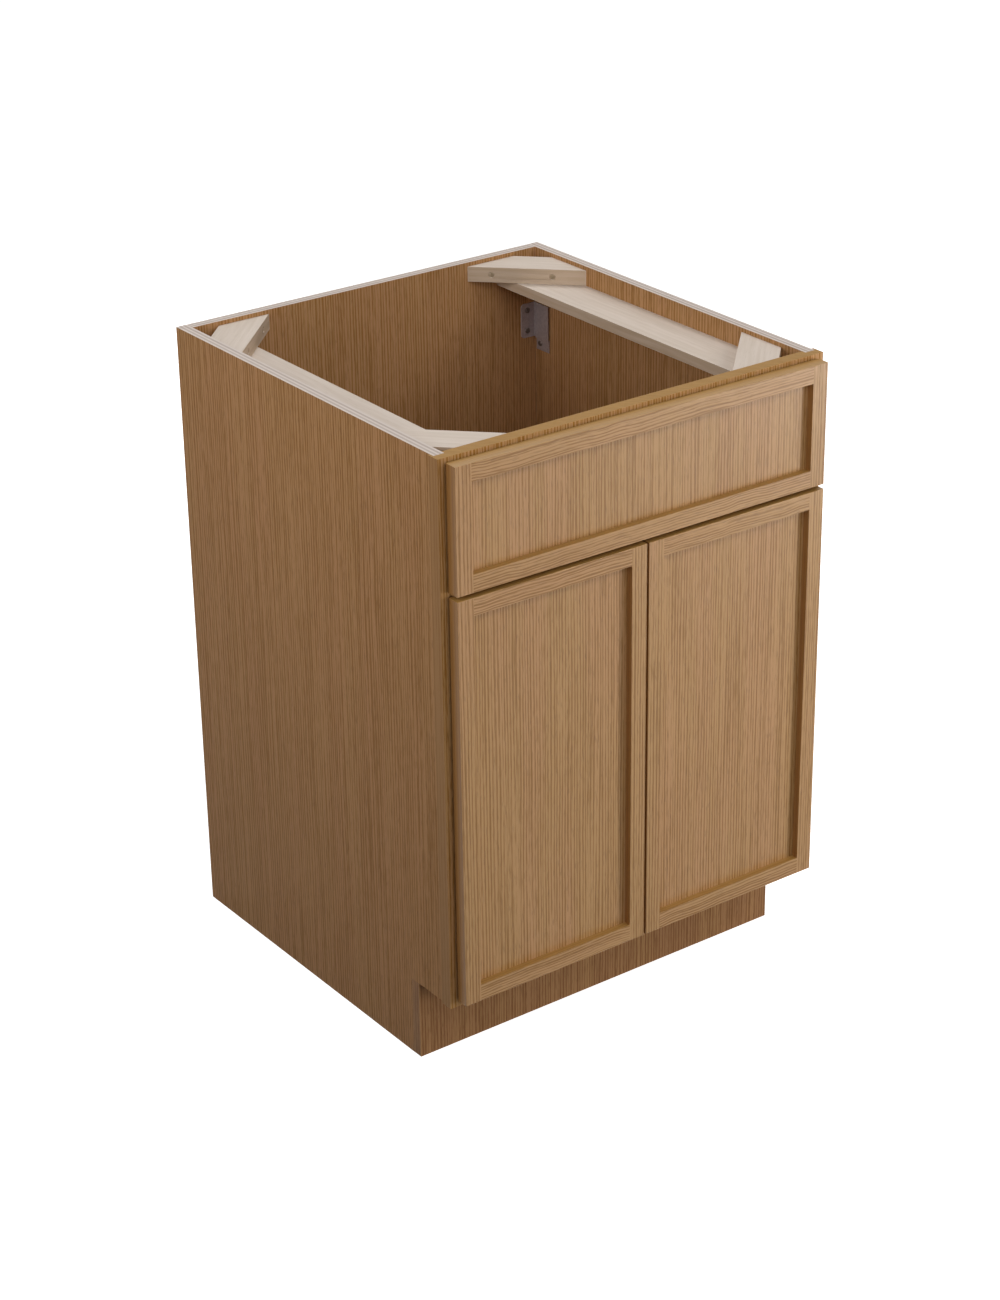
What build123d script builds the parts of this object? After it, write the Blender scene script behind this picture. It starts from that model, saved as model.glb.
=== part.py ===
from build123d import *
import os
from math import sqrt

# A framed sink base cabinet: two doors under a fixed false drawer front, open at the top for the sink.
# X runs from left to right, Y from front to back and Z up. The origin is on the floor, in the middle of
# the cabinet's width and of its depth over the doors. Sizes are in millimetres.

os.makedirs("parts", exist_ok=True)

# The whole cabinet
cabinet_width = 609.6  # over the face frame
cabinet_height = 876.3
carcass_depth = 609.6  # from the back to the face frame's front
toe_space_height = 114.3
toe_space_depth = 76.2  # behind the face frame's front

# Plywood box
side_thickness = 15.9
back_thickness = 15.9
bottom_thickness = 15.9
toe_board_thickness = 15.9
groove_depth = 6.0  # of the grooves in the sides that hold the bottom panel
glue_gap = 0.1  # play of a board in its groove, on each side

# Face frame
frame_thickness = 19.05
stile_width = 38.1
top_rail_height = 38.1
middle_rail_height = 38.1
bottom_rail_height = 38.1
frame_overhang = 3.2  # the frame stands this far past the outside of each side panel
stile_groove_depth = 6.4  # of the groove in each stile's back that holds the side panel
tenon_length = 10.0
tenon_thickness = 6.35
tenon_shoulder = 6.0  # rail left above and below each tenon

# Top bracing
side_rail_width = 69.0
side_rail_thickness = 15.0
block_recess = 6.0  # below the rim
block_thickness = 22.5
block_width = 56.0  # between the long face and the short face
block_leg = 120.0  # from the corner to the end of the long face, along each wall
block_screw_from_wall = 34.0  # along the long face, from its end at the back or the frame
block_screw_from_side = 48.0  # the same, from its end at the side panel
block_screw_grip = 9.0  # length of screw that enters the wall
block_screw_sink = 2.5  # depth of the hole that hides the head

# False drawer front and doors
front_thickness = 19.05
front_member_width = 24.0  # visible width of each stile and rail
front_recess = 10.0  # of the flat panel behind the stiles and rails
front_lap = 8.0  # of the panel behind the stiles and rails
panel_play = 0.3  # around the panel in its frame
top_reveal = 6.0  # face frame seen above the false front
side_reveal = 10.0  # face frame seen beside the fronts
false_front_height = 168.5
front_gap = 6.5  # between the false front and the doors
door_bottom_reveal = 10.5  # face frame seen below the doors
centre_gap = 3.4  # between the doors
edge_ease = 0.5  # rounding of the fronts' outer edges
door_back_round = 2.0  # rounding of each door's back edge at its hinges
bumper_gap = 2.0  # between the fronts and the face frame
bumper_radius = 4.0
bumper_from_edge = 9.0  # from a front's top or bottom edge and from its end
closing_play = 0.1  # left between a bumper and the face frame

# Concealed hinges, two on each door
hinge_from_end = 90.0  # from the door's top and bottom edges to the hinges' centres
cup_radius = 17.5
cup_wall = 0.6
cup_skin = 0.65  # wood left in front of the cup
cup_rim_inset = 3.0  # from the door's edge to the cup
cup_rim_width = 0.8  # of the rim that lies on the door's back
flange_thickness = 0.8
flange_width = 12.0
flange_reach = 31.0  # from the cup's centre to the end of each flange ear
cup_screw_spacing = 48.0
pin_radius = 0.9
barrel_radius = 1.7
barrel_length = 6.0
barrel_play = 0.25  # beside the barrel, between the cup's two lugs
barrel_clearance = 0.5  # between the barrel and the cup's wall
floor_clearance = 0.3  # between the barrel and the cup's floor
lug_thickness = 2.0
lug_margin = 1.8  # of lug around the pin's centre
pin_fit = 0.05  # radial play of the pin in its holes
arm_thickness = 1.4
arm_width = 12.0
arm_neck_length = 8.0  # of the narrow part next to the barrel
arm_plate_width = 30.0
arm_plate_depth = 16.0  # on the edge of the frame's stile
arm_screw_spacing = 18.0

# Steel corner brackets, two at each back corner
bracket_metal = 1.6
bracket_height = 52.0
bracket_back_width = 27.0
bracket_side_width = 34.0
bracket_standoff = 2.0  # of the side flange off the side panel
bracket_tab_height = 19.0
bracket_tab_width = 30.0
bracket_corner_round = 6.0
bracket_hole_spacing = 31.0
bracket_hole_inset = 11.0  # from the back flange's free edge
bracket_tab_hole_drop = 8.7  # below the side flange
bracket_tab_hole_from_back = 13.0
bracket_top_below_rim = 82.0
bracket_bottom_above_floor = 108.0  # from the cabinet's bottom panel to the lower bracket

# Fasteners
screw_fit = 0.05  # radial play around each screw
wood_screw_radius = 2.0
wood_screw_head_radius = 4.2
wood_screw_head_height = 1.6
bracket_screw_length = 12.0
hinge_screw_radius = 1.5
hinge_screw_head_radius = 3.2
hinge_screw_head_height = 1.2
arm_screw_length = 14.0
cup_screw_length = 6.5
cup_screw_head_height = 0.6
false_screw_x = 110.0  # from the cabinet's middle
false_screw_bite = 12.0  # length of screw that enters the false front
drive_slot_width = 0.9
drive_slot_share = 1.3  # length of the cross slot, in head radii
drive_slot_depth_share = 0.6  # depth of the cross slot, in head heights

# Where the main faces stand
half_width = cabinet_width / 2
back_y = (carcass_depth + bumper_gap + front_thickness) / 2
back_inner_y = back_y - back_thickness
frame_front_y = back_y - carcass_depth
frame_back_y = frame_front_y + frame_thickness
front_back_y = frame_front_y - bumper_gap
panel_face_y = front_back_y - front_thickness + front_recess
front_face_y = front_back_y - front_thickness
toe_board_y = frame_front_y + toe_space_depth
side_outer_x = half_width - frame_overhang
side_inner_x = side_outer_x - side_thickness
frame_inner_x = half_width - stile_width
bottom_rail_top_z = toe_space_height + bottom_rail_height
bottom_panel_z = bottom_rail_top_z - bottom_thickness
block_top_z = cabinet_height - block_recess
block_bottom_z = block_top_z - block_thickness

# The fronts' outlines
front_outer_x = half_width - side_reveal
door_meeting_x = centre_gap / 2
false_front_top_z = cabinet_height - top_reveal
false_front_bottom_z = false_front_top_z - false_front_height
door_top_z = false_front_bottom_z - front_gap
door_bottom_z = toe_space_height + door_bottom_reveal
front_panel_thickness = front_thickness - front_recess
member_back_width = front_member_width - front_lap

# The middle rail stands behind the gap between the false front and the doors
middle_rail_z = (false_front_bottom_z + door_top_z) / 2 - middle_rail_height / 2
frame_rails = {
    "top": (cabinet_height - top_rail_height, cabinet_height),
    "middle": (middle_rail_z, middle_rail_z + middle_rail_height),
    "bottom": (toe_space_height, bottom_rail_top_z),
}

# The hinges: the pin stands inside the cup, and the arm reaches past the stile's inner edge
cup_depth = front_panel_thickness - cup_skin
cup_x = front_outer_x - cup_rim_inset - cup_radius
pin_depth = cup_depth - cup_wall - floor_clearance - barrel_radius
pin_x = front_outer_x - cup_rim_inset - cup_wall - barrel_clearance - barrel_radius
pin_y = front_back_y - pin_depth
hinge_heights = (door_bottom_z + hinge_from_end, door_top_z - hinge_from_end)
lug_gap = barrel_length / 2 + barrel_play
arm_plate_x = frame_inner_x - arm_thickness
arm_screw_y = frame_front_y + frame_thickness / 2

upper_bracket_z = cabinet_height - bracket_top_below_rim - bracket_height
lower_bracket_z = bottom_rail_top_z + bracket_bottom_above_floor
false_screw_heights = (
    false_front_top_z - member_back_width / 2 - edge_ease,
    false_front_bottom_z + member_back_width / 2,
)


def span(x, y, z, mode=Mode.ADD):
    """Adds or cuts a straight-sided board between two x, two y and two z limits."""
    with BuildSketch(Plane.XY.offset(z[0])) as outline:
        with Locations(((x[0] + x[1]) / 2, (y[0] + y[1]) / 2)):
            Rectangle(abs(x[1] - x[0]), abs(y[1] - y[0]))
    extrude(outline.sketch, amount=z[1] - z[0], mode=mode)


def rod(start, direction, radius, length, mode=Mode.ADD):
    """Adds or cuts a round rod that starts at a point and runs in a direction."""
    with BuildSketch(Plane(origin=start, z_dir=direction)) as circle:
        Circle(radius)
    extrude(circle.sketch, amount=length, mode=mode)


def screw(seat, direction, length, radius, head_radius, head_height):
    """Adds a cross-slotted screw: its head stands on the seat and its shank runs in the direction."""
    rod(seat, direction, radius, length)
    head_plane = Plane(origin=seat, z_dir=direction).offset(-head_height)
    with BuildSketch(head_plane) as head:
        Circle(head_radius)
    extrude(head.sketch, amount=head_height)
    with BuildSketch(head_plane) as slots:
        Rectangle(drive_slot_share * head_radius, drive_slot_width)
        Rectangle(drive_slot_width, drive_slot_share * head_radius)
    extrude(slots.sketch, amount=drive_slot_depth_share * head_height, mode=Mode.SUBTRACT)


def save(piece, name):
    """Labels a finished piece and writes it to its own file."""
    piece.part.label = name
    export_step(piece.part, f"parts/{name}.step")


def save_pair(piece, name):
    """Writes the right-hand piece and its mirror image on the left."""
    save(piece, f"{name}_right")
    with BuildPart() as twin:
        mirror(piece.part, about=Plane.YZ)
    save(twin, f"{name}_left")


def block_screws(toward_room):
    """Gives the two screws of a right-hand corner block as (point on the long face, direction, length).

    toward_room is -1 at the back panel and 1 at the face frame: the way along Y into the cabinet.
    """
    wall_y = back_inner_y if toward_room < 0 else frame_back_y
    direction = (1 / sqrt(2), -toward_room / sqrt(2), 0)
    screws = []
    for from_wall, end in ((True, block_screw_from_wall), (False, block_screw_from_side)):
        near, far = end / sqrt(2), block_leg - end / sqrt(2)
        off_side, off_wall = (far, near) if from_wall else (near, far)
        point = (side_inner_x - off_side, wall_y + toward_room * off_wall, block_top_z - block_thickness / 2)
        screws.append((point, direction, end + block_screw_grip))
    return screws


def bore_for_blocks(rows):
    """Cuts the holes of the corner blocks' screws, on both sides, where they meet the piece."""
    for toward_room in rows:
        for point, direction, length in block_screws(toward_room):
            for side in (1, -1):
                start = (side * point[0], point[1], point[2])
                heading = (side * direction[0], direction[1], 0)
                rod(start, heading, wood_screw_radius + screw_fit, length, Mode.SUBTRACT)


def bracket_screw_seats(bracket_z):
    """Gives the three screws of a right-hand bracket as (seat, direction)."""
    back_x = side_inner_x - bracket_back_width + bracket_hole_inset
    middle_z = bracket_z + bracket_height / 2
    seats = [
        ((back_x, back_inner_y - bracket_metal, middle_z + shift), (0, 1, 0))
        for shift in (-bracket_hole_spacing / 2, bracket_hole_spacing / 2)
    ]
    tab_y = back_inner_y - bracket_tab_hole_from_back
    seats.append(((side_inner_x - bracket_metal, tab_y, bracket_z - bracket_tab_hole_drop), (1, 0, 0)))
    return seats


def bore_for_brackets(directions):
    """Cuts the brackets' screw holes, on both sides, for the screws that run in the given directions."""
    for bracket_z in (upper_bracket_z, lower_bracket_z):
        for seat, direction in bracket_screw_seats(bracket_z):
            if direction in directions:
                for side in (1, -1):
                    start = (side * seat[0], seat[1], seat[2])
                    heading = (side * direction[0], direction[1], direction[2])
                    rod(start, heading, wood_screw_radius + screw_fit, bracket_screw_length, Mode.SUBTRACT)


# ---- Plywood box ----

with BuildPart() as side_panel:
    side_front_y = frame_back_y - stile_groove_depth + glue_gap
    span((side_inner_x, side_outer_x), (side_front_y, back_y), (0, cabinet_height))
    span(
        (side_inner_x, side_outer_x),
        (frame_front_y, toe_board_y + toe_board_thickness),
        (0, toe_space_height),
        Mode.SUBTRACT,
    )
    span(
        (side_inner_x, side_inner_x + groove_depth),
        (frame_back_y, back_inner_y),
        (bottom_panel_z - glue_gap, bottom_rail_top_z + glue_gap),
        Mode.SUBTRACT,
    )
    bore_for_blocks((-1, 1))
    bore_for_brackets([(1, 0, 0)])
save_pair(side_panel, "side_panel")

with BuildPart() as back_panel:
    span((-side_inner_x, side_inner_x), (back_inner_y, back_y), (0, cabinet_height))
    bore_for_blocks((-1,))
    bore_for_brackets([(0, 1, 0)])
save(back_panel, "back_panel")

with BuildPart() as bottom_panel:
    held_x = side_inner_x + groove_depth - glue_gap
    span((-held_x, held_x), (frame_back_y, back_inner_y), (bottom_panel_z, bottom_rail_top_z))
save(bottom_panel, "bottom_panel")

with BuildPart() as toe_kick_board:
    toe_board_depth = (toe_board_y, toe_board_y + toe_board_thickness)
    span((-side_outer_x, side_outer_x), toe_board_depth, (0, toe_space_height))
    span((-side_inner_x, side_inner_x), toe_board_depth, (toe_space_height, bottom_panel_z))
save(toe_kick_board, "toe_kick_board")

# ---- Face frame ----

tenon_y = (frame_front_y + frame_back_y) / 2

with BuildPart() as frame_stile:
    span((frame_inner_x, half_width), (frame_front_y, frame_back_y), (toe_space_height, cabinet_height))
    span(
        (side_inner_x - glue_gap, side_outer_x + glue_gap),
        (frame_back_y - stile_groove_depth, frame_back_y),
        (toe_space_height, cabinet_height),
        Mode.SUBTRACT,
    )
    for low_z, high_z in frame_rails.values():
        span(
            (frame_inner_x, frame_inner_x + tenon_length + glue_gap),
            (tenon_y - tenon_thickness / 2 - glue_gap, tenon_y + tenon_thickness / 2 + glue_gap),
            (low_z + tenon_shoulder - glue_gap, high_z - tenon_shoulder + glue_gap),
            Mode.SUBTRACT,
        )
    for height in hinge_heights:
        for shift in (-arm_screw_spacing / 2, arm_screw_spacing / 2):
            start = (frame_inner_x, arm_screw_y, height + shift)
            rod(start, (1, 0, 0), hinge_screw_radius + screw_fit, arm_screw_length, Mode.SUBTRACT)
save_pair(frame_stile, "frame_stile")

for rail_name, (low_z, high_z) in frame_rails.items():
    with BuildPart() as frame_rail:
        span((-frame_inner_x, frame_inner_x), (frame_front_y, frame_back_y), (low_z, high_z))
        span(
            (-frame_inner_x - tenon_length, frame_inner_x + tenon_length),
            (tenon_y - tenon_thickness / 2, tenon_y + tenon_thickness / 2),
            (low_z + tenon_shoulder, high_z - tenon_shoulder),
        )
        for height in false_screw_heights:
            if low_z < height < high_z:
                for side in (-1, 1):
                    start = (side * false_screw_x, frame_back_y, height)
                    rod(start, (0, -1, 0), wood_screw_radius + screw_fit, frame_thickness, Mode.SUBTRACT)
        if rail_name == "top":
            bore_for_blocks((1,))
    save(frame_rail, f"frame_{rail_name}_rail")

# ---- Bracing under the rim ----

with BuildPart() as side_rail:
    span(
        (side_inner_x - side_rail_width, side_inner_x),
        (frame_back_y, back_inner_y),
        (block_bottom_z - side_rail_thickness, block_bottom_z),
    )
save_pair(side_rail, "side_rail")

block_short_leg = block_leg - block_width * sqrt(2)
for row, toward_room, wall_y in (("back", -1, back_inner_y), ("front", 1, frame_back_y)):
    with BuildPart() as corner_block:
        with BuildSketch(Plane.XY.offset(block_bottom_z)):
            with BuildLine():
                Polyline(
                    (side_inner_x - block_leg, wall_y),
                    (side_inner_x, wall_y + toward_room * block_leg),
                    (side_inner_x, wall_y + toward_room * block_short_leg),
                    (side_inner_x - block_short_leg, wall_y),
                    close=True,
                )
            make_face()
        extrude(amount=block_thickness)
        bore_for_blocks((toward_room,))
        for point, direction, length in block_screws(toward_room):
            rod(point, direction, wood_screw_head_radius + screw_fit, block_screw_sink, Mode.SUBTRACT)
    save_pair(corner_block, f"corner_block_{row}")

with BuildPart() as right_block_screws:
    for toward_room in (-1, 1):
        for point, direction, length in block_screws(toward_room):
            seat = tuple(p + block_screw_sink * d for p, d in zip(point, direction))
            screw(
                seat,
                direction,
                length - block_screw_sink,
                wood_screw_radius,
                wood_screw_head_radius,
                wood_screw_head_height,
            )
with BuildPart() as corner_block_screws:
    add(right_block_screws.part)
    mirror(right_block_screws.part, about=Plane.YZ)
save(corner_block_screws, "corner_block_screws")

# ---- Steel brackets in the back corners ----

for level, bracket_z in (("upper", upper_bracket_z), ("lower", lower_bracket_z)):
    with BuildPart() as bracket:
        standing_x = side_inner_x - bracket_standoff - bracket_metal
        tab_front_y = back_inner_y - bracket_side_width
        with BuildSketch(Plane.XZ.offset(-back_inner_y)) as back_flange:
            flange_x = side_inner_x - (bracket_back_width + bracket_standoff) / 2
            with Locations((flange_x, bracket_z + bracket_height / 2)):
                Rectangle(bracket_back_width - bracket_standoff, bracket_height)
            fillet(vertices().group_by(Axis.X)[0], bracket_corner_round)
        extrude(amount=bracket_metal)
        span(
            (standing_x, standing_x + bracket_metal),
            (tab_front_y, back_inner_y),
            (bracket_z, bracket_z + bracket_height),
        )
        span(
            (standing_x, side_inner_x),
            (tab_front_y, tab_front_y + bracket_tab_width),
            (bracket_z - bracket_metal, bracket_z),
        )
        span(
            (side_inner_x - bracket_metal, side_inner_x),
            (tab_front_y, tab_front_y + bracket_tab_width),
            (bracket_z - bracket_tab_height, bracket_z),
        )
        for seat, direction in bracket_screw_seats(bracket_z):
            rod(seat, direction, wood_screw_radius + screw_fit, bracket_metal, Mode.SUBTRACT)
    save_pair(bracket, f"{level}_bracket")

with BuildPart() as right_bracket_screws:
    for bracket_z in (upper_bracket_z, lower_bracket_z):
        for seat, direction in bracket_screw_seats(bracket_z):
            screw(
                seat,
                direction,
                bracket_screw_length,
                wood_screw_radius,
                wood_screw_head_radius,
                wood_screw_head_height,
            )
with BuildPart() as bracket_screws:
    add(right_bracket_screws.part)
    mirror(right_bracket_screws.part, about=Plane.YZ)
save(bracket_screws, "bracket_screws")

# ---- Fronts: each is two stiles, two rails and a flat panel that laps behind them ----


def ease_outer_edges(is_outer):
    """Rounds the edges of the front face that the given test picks."""
    face_edges = edges().group_by(Axis.Y)[0]
    fillet([edge for edge in face_edges if is_outer(edge.center())], edge_ease)


def front_stile(edge_x, inward, z):
    """Makes a front's upright from its outer edge inwards, with the lap for the panel cut from its back."""
    with BuildPart() as stile:
        span((edge_x, edge_x + inward * front_member_width), (front_face_y, panel_face_y), z)
        span((edge_x, edge_x + inward * member_back_width), (panel_face_y, front_back_y), z)
        inner_x = edge_x + inward * front_member_width
        ease_outer_edges(lambda centre: abs(centre.X - inner_x) > edge_ease)
    return stile


def front_rail(x, edge_z, inward):
    """Makes a front's rail from its outer edge inwards: its back part runs on behind the two stiles."""
    with BuildPart() as rail:
        span(
            (x[0] + front_member_width, x[1] - front_member_width),
            (front_face_y, panel_face_y),
            sorted((edge_z, edge_z + inward * front_member_width)),
        )
        span(
            (x[0] + member_back_width, x[1] - member_back_width),
            (panel_face_y, front_back_y),
            sorted((edge_z, edge_z + inward * member_back_width)),
        )
        ease_outer_edges(lambda centre: abs(centre.Z - edge_z) < edge_ease)
    return rail


def front_panel(x, z):
    """Makes a front's flat panel, which fills the lap behind the stiles and rails."""
    edge = member_back_width + panel_play
    with BuildPart() as panel:
        span((x[0] + edge, x[1] - edge), (panel_face_y, front_back_y), (z[0] + edge, z[1] - edge))
    return panel


def bumper(x, z):
    """Adds a soft pad on a front's back, just short of the face frame."""
    rod((x, front_back_y, z), (0, 1, 0), bumper_radius, bumper_gap - closing_play)


false_front_z = (false_front_bottom_z, false_front_top_z)
false_front_x = (-front_outer_x, front_outer_x)
save_pair(front_stile(front_outer_x, -1, false_front_z), "false_front_stile")
save(front_panel(false_front_x, false_front_z), "false_front_panel")

for rail_name, edge_z, inward, screw_z in (
    ("top", false_front_top_z, -1, false_screw_heights[0]),
    ("bottom", false_front_bottom_z, 1, false_screw_heights[1]),
):
    with BuildPart() as false_front_rail:
        add(front_rail(false_front_x, edge_z, inward).part)
        for side in (-1, 1):
            start = (side * false_screw_x, front_back_y, screw_z)
            rod(start, (0, -1, 0), wood_screw_radius + screw_fit, false_screw_bite, Mode.SUBTRACT)
    save(false_front_rail, f"false_front_{rail_name}_rail")

with BuildPart() as false_front_screws:
    for side in (-1, 1):
        for height in false_screw_heights:
            screw(
                (side * false_screw_x, frame_back_y, height),
                (0, -1, 0),
                frame_thickness + bumper_gap + false_screw_bite,
                wood_screw_radius,
                wood_screw_head_radius,
                wood_screw_head_height,
            )
save(false_front_screws, "false_front_screws")

with BuildPart() as false_front_bumpers:
    for side in (-1, 1):
        bumper(side * (front_outer_x - bumper_from_edge), false_front_top_z - bumper_from_edge)
        bumper(side * (front_outer_x - bumper_from_edge), false_front_bottom_z + bumper_from_edge)
save(false_front_bumpers, "false_front_bumpers")

# ---- Right door, and its mirror image ----

door_x = (door_meeting_x, front_outer_x)
door_z = (door_bottom_z, door_top_z)


def bore_for_cups():
    """Cuts the round seats of the hinge cups and the holes of their screws from a door's back."""
    for height in hinge_heights:
        rod((cup_x, front_back_y, height), (0, -1, 0), cup_radius, cup_depth, Mode.SUBTRACT)
        for shift in (-cup_screw_spacing / 2, cup_screw_spacing / 2):
            start = (cup_x, front_back_y, height + shift)
            rod(start, (0, -1, 0), hinge_screw_radius + screw_fit, cup_screw_length, Mode.SUBTRACT)


with BuildPart() as door_hinge_stile:
    add(front_stile(front_outer_x, -1, door_z).part)
    back_edges = edges().group_by(Axis.Y)[-1].filter_by(Axis.Z)
    fillet(back_edges.sort_by(Axis.X)[-1], door_back_round)
    bore_for_cups()
save_pair(door_hinge_stile, "door_hinge_stile")

save_pair(front_stile(door_meeting_x, 1, door_z), "door_meeting_stile")
save_pair(front_rail(door_x, door_top_z, -1), "door_top_rail")
save_pair(front_rail(door_x, door_bottom_z, 1), "door_bottom_rail")

with BuildPart() as door_panel:
    add(front_panel(door_x, door_z).part)
    bore_for_cups()
save_pair(door_panel, "door_panel")

with BuildPart() as door_bumpers:
    bumper(door_meeting_x + bumper_from_edge, door_top_z - bumper_from_edge)
    bumper(door_meeting_x + bumper_from_edge, door_bottom_z + bumper_from_edge)
save_pair(door_bumpers, "door_bumpers")

# ---- Hinges ----

cup_floor_y = front_back_y - cup_depth + cup_wall

with BuildPart() as hinge_cups:
    for height in hinge_heights:
        centre = (cup_x, front_back_y, height)
        rod(centre, (0, -1, 0), cup_radius, cup_depth)
        rod(centre, (0, 1, 0), cup_radius + cup_rim_width, flange_thickness)
        span(
            (cup_x - flange_width / 2, cup_x + flange_width / 2),
            (front_back_y, front_back_y + flange_thickness),
            (height - flange_reach, height + flange_reach),
        )
        mouth = (cup_x, front_back_y + flange_thickness, height)
        rod(mouth, (0, -1, 0), cup_radius - cup_wall, flange_thickness + cup_depth - cup_wall, Mode.SUBTRACT)
        for side in (-1, 1):
            span(
                (pin_x - lug_margin, pin_x + lug_margin),
                (cup_floor_y, pin_y + lug_margin),
                sorted((height + side * lug_gap, height + side * (lug_gap + lug_thickness))),
            )
        pin_reach = lug_gap + lug_thickness
        rod((pin_x, pin_y, height - pin_reach), (0, 0, 1), pin_radius + pin_fit, 2 * pin_reach, Mode.SUBTRACT)
        for shift in (-cup_screw_spacing / 2, cup_screw_spacing / 2):
            start = (cup_x, front_back_y, height + shift)
            rod(start, (0, 1, 0), hinge_screw_radius + screw_fit, flange_thickness, Mode.SUBTRACT)
save_pair(hinge_cups, "hinge_cups")

with BuildPart() as hinge_cup_screws:
    for height in hinge_heights:
        for shift in (-cup_screw_spacing / 2, cup_screw_spacing / 2):
            screw(
                (cup_x, front_back_y + flange_thickness, height + shift),
                (0, -1, 0),
                cup_screw_length,
                hinge_screw_radius,
                hinge_screw_head_radius,
                cup_screw_head_height,
            )
save_pair(hinge_cup_screws, "hinge_cup_screws")

with BuildPart() as hinge_pins:
    for height in hinge_heights:
        pin_reach = lug_gap + lug_thickness
        rod((pin_x, pin_y, height - pin_reach), (0, 0, 1), pin_radius, 2 * pin_reach)
save_pair(hinge_pins, "hinge_pins")

with BuildPart() as hinge_arms:
    for height in hinge_heights:
        arm_y = (pin_y - arm_thickness / 2, pin_y + arm_thickness / 2)
        rod((pin_x, pin_y, height - barrel_length / 2), (0, 0, 1), barrel_radius, barrel_length)
        span((arm_plate_x, pin_x), arm_y, (height - barrel_length / 2, height + barrel_length / 2))
        arm_z = (height - arm_width / 2, height + arm_width / 2)
        span((arm_plate_x, pin_x - arm_neck_length), arm_y, arm_z)
        span((arm_plate_x, frame_inner_x), (arm_y[0], frame_front_y + arm_plate_depth), arm_z)
        span(
            (arm_plate_x, frame_inner_x),
            (frame_front_y, frame_front_y + arm_plate_depth),
            (height - arm_plate_width / 2, height + arm_plate_width / 2),
        )
        start = (pin_x, pin_y, height - barrel_length / 2)
        rod(start, (0, 0, 1), pin_radius + pin_fit, barrel_length, Mode.SUBTRACT)
        for shift in (-arm_screw_spacing / 2, arm_screw_spacing / 2):
            start = (arm_plate_x, arm_screw_y, height + shift)
            rod(start, (1, 0, 0), hinge_screw_radius + screw_fit, arm_thickness, Mode.SUBTRACT)
save_pair(hinge_arms, "hinge_arms")

with BuildPart() as hinge_arm_screws:
    for height in hinge_heights:
        for shift in (-arm_screw_spacing / 2, arm_screw_spacing / 2):
            screw(
                (arm_plate_x, arm_screw_y, height + shift),
                (1, 0, 0),
                arm_screw_length,
                hinge_screw_radius,
                hinge_screw_head_radius,
                hinge_screw_head_height,
            )
save_pair(hinge_arm_screws, "hinge_arm_screws")

print(f"hinge pin at x {pin_x:.3f}, y {pin_y:.3f}; depth over the doors {2 * back_y:.2f}")
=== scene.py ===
"""Looks of a sink base cabinet: oak fronts and frame, a plywood box, pale bracing and steel fittings."""

import logging
import math
from collections.abc import Callable
from dataclasses import dataclass
from enum import Enum
from functools import cached_property

import bpy
import numpy as np
from mathutils import Matrix, Vector


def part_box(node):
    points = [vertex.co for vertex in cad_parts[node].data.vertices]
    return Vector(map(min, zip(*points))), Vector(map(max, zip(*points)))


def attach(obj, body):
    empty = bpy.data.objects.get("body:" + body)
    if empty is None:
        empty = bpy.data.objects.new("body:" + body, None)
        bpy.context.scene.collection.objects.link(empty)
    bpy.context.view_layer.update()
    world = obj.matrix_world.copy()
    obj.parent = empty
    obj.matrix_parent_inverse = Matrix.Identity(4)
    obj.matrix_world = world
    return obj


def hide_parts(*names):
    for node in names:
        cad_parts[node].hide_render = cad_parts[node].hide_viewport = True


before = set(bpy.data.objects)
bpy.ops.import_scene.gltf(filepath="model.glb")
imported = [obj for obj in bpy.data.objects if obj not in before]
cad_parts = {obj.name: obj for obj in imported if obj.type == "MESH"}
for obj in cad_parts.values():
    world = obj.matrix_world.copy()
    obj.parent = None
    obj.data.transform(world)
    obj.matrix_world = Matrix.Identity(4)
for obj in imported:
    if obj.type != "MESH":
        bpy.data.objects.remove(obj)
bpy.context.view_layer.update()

log = logging.getLogger("sink_base_cabinet")

Array = np.ndarray
Socket = bpy.types.NodeSocket
Colour = tuple[float, float, float]
Point = tuple[float, float, float]
Band = tuple[float, float]

MM = 0.001
RIGHT: Point = (1.0, 0.0, 0.0)
BACK: Point = (0.0, 1.0, 0.0)
UP: Point = (0.0, 0.0, 1.0)
DOWN: Point = (0.0, 0.0, -1.0)
WHITE: Colour = (1.0, 1.0, 1.0)
CABINET = "cabinet"
SIDES = ("left", "right")


class Grain(Enum):
    """The direction in which a board's grain runs."""

    UP = (0.0, 0.0, 1.0)
    ACROSS = (1.0, 0.0, 0.0)
    DEEP = (0.0, 1.0, 0.0)
    RISING_RIGHT = (1.0, 1.0, 0.0)
    FALLING_RIGHT = (1.0, -1.0, 0.0)


class Axis(Enum):
    """An axis of the cabinet, as the index of its coordinate."""

    X = 0
    Y = 1
    Z = 2


def linear(red: int, green: int, blue: int) -> Colour:
    """Turns a colour of 0 to 255, as it is seen, into the linear shares that a shader takes.

    Args:
        red, green, blue: the seen colour.

    Returns:
        The three linear shares, by the sRGB curve.
    """
    shares = np.array([red, green, blue]) / 255.0
    curve = np.where(shares <= 0.04045, shares / 12.92, ((shares + 0.055) / 1.055) ** 2.4)
    return tuple(float(share) for share in curve)


# ---- Shader graphs ----

NOISE_MIDDLE = 0.5
LIVELY = 0.6


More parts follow.
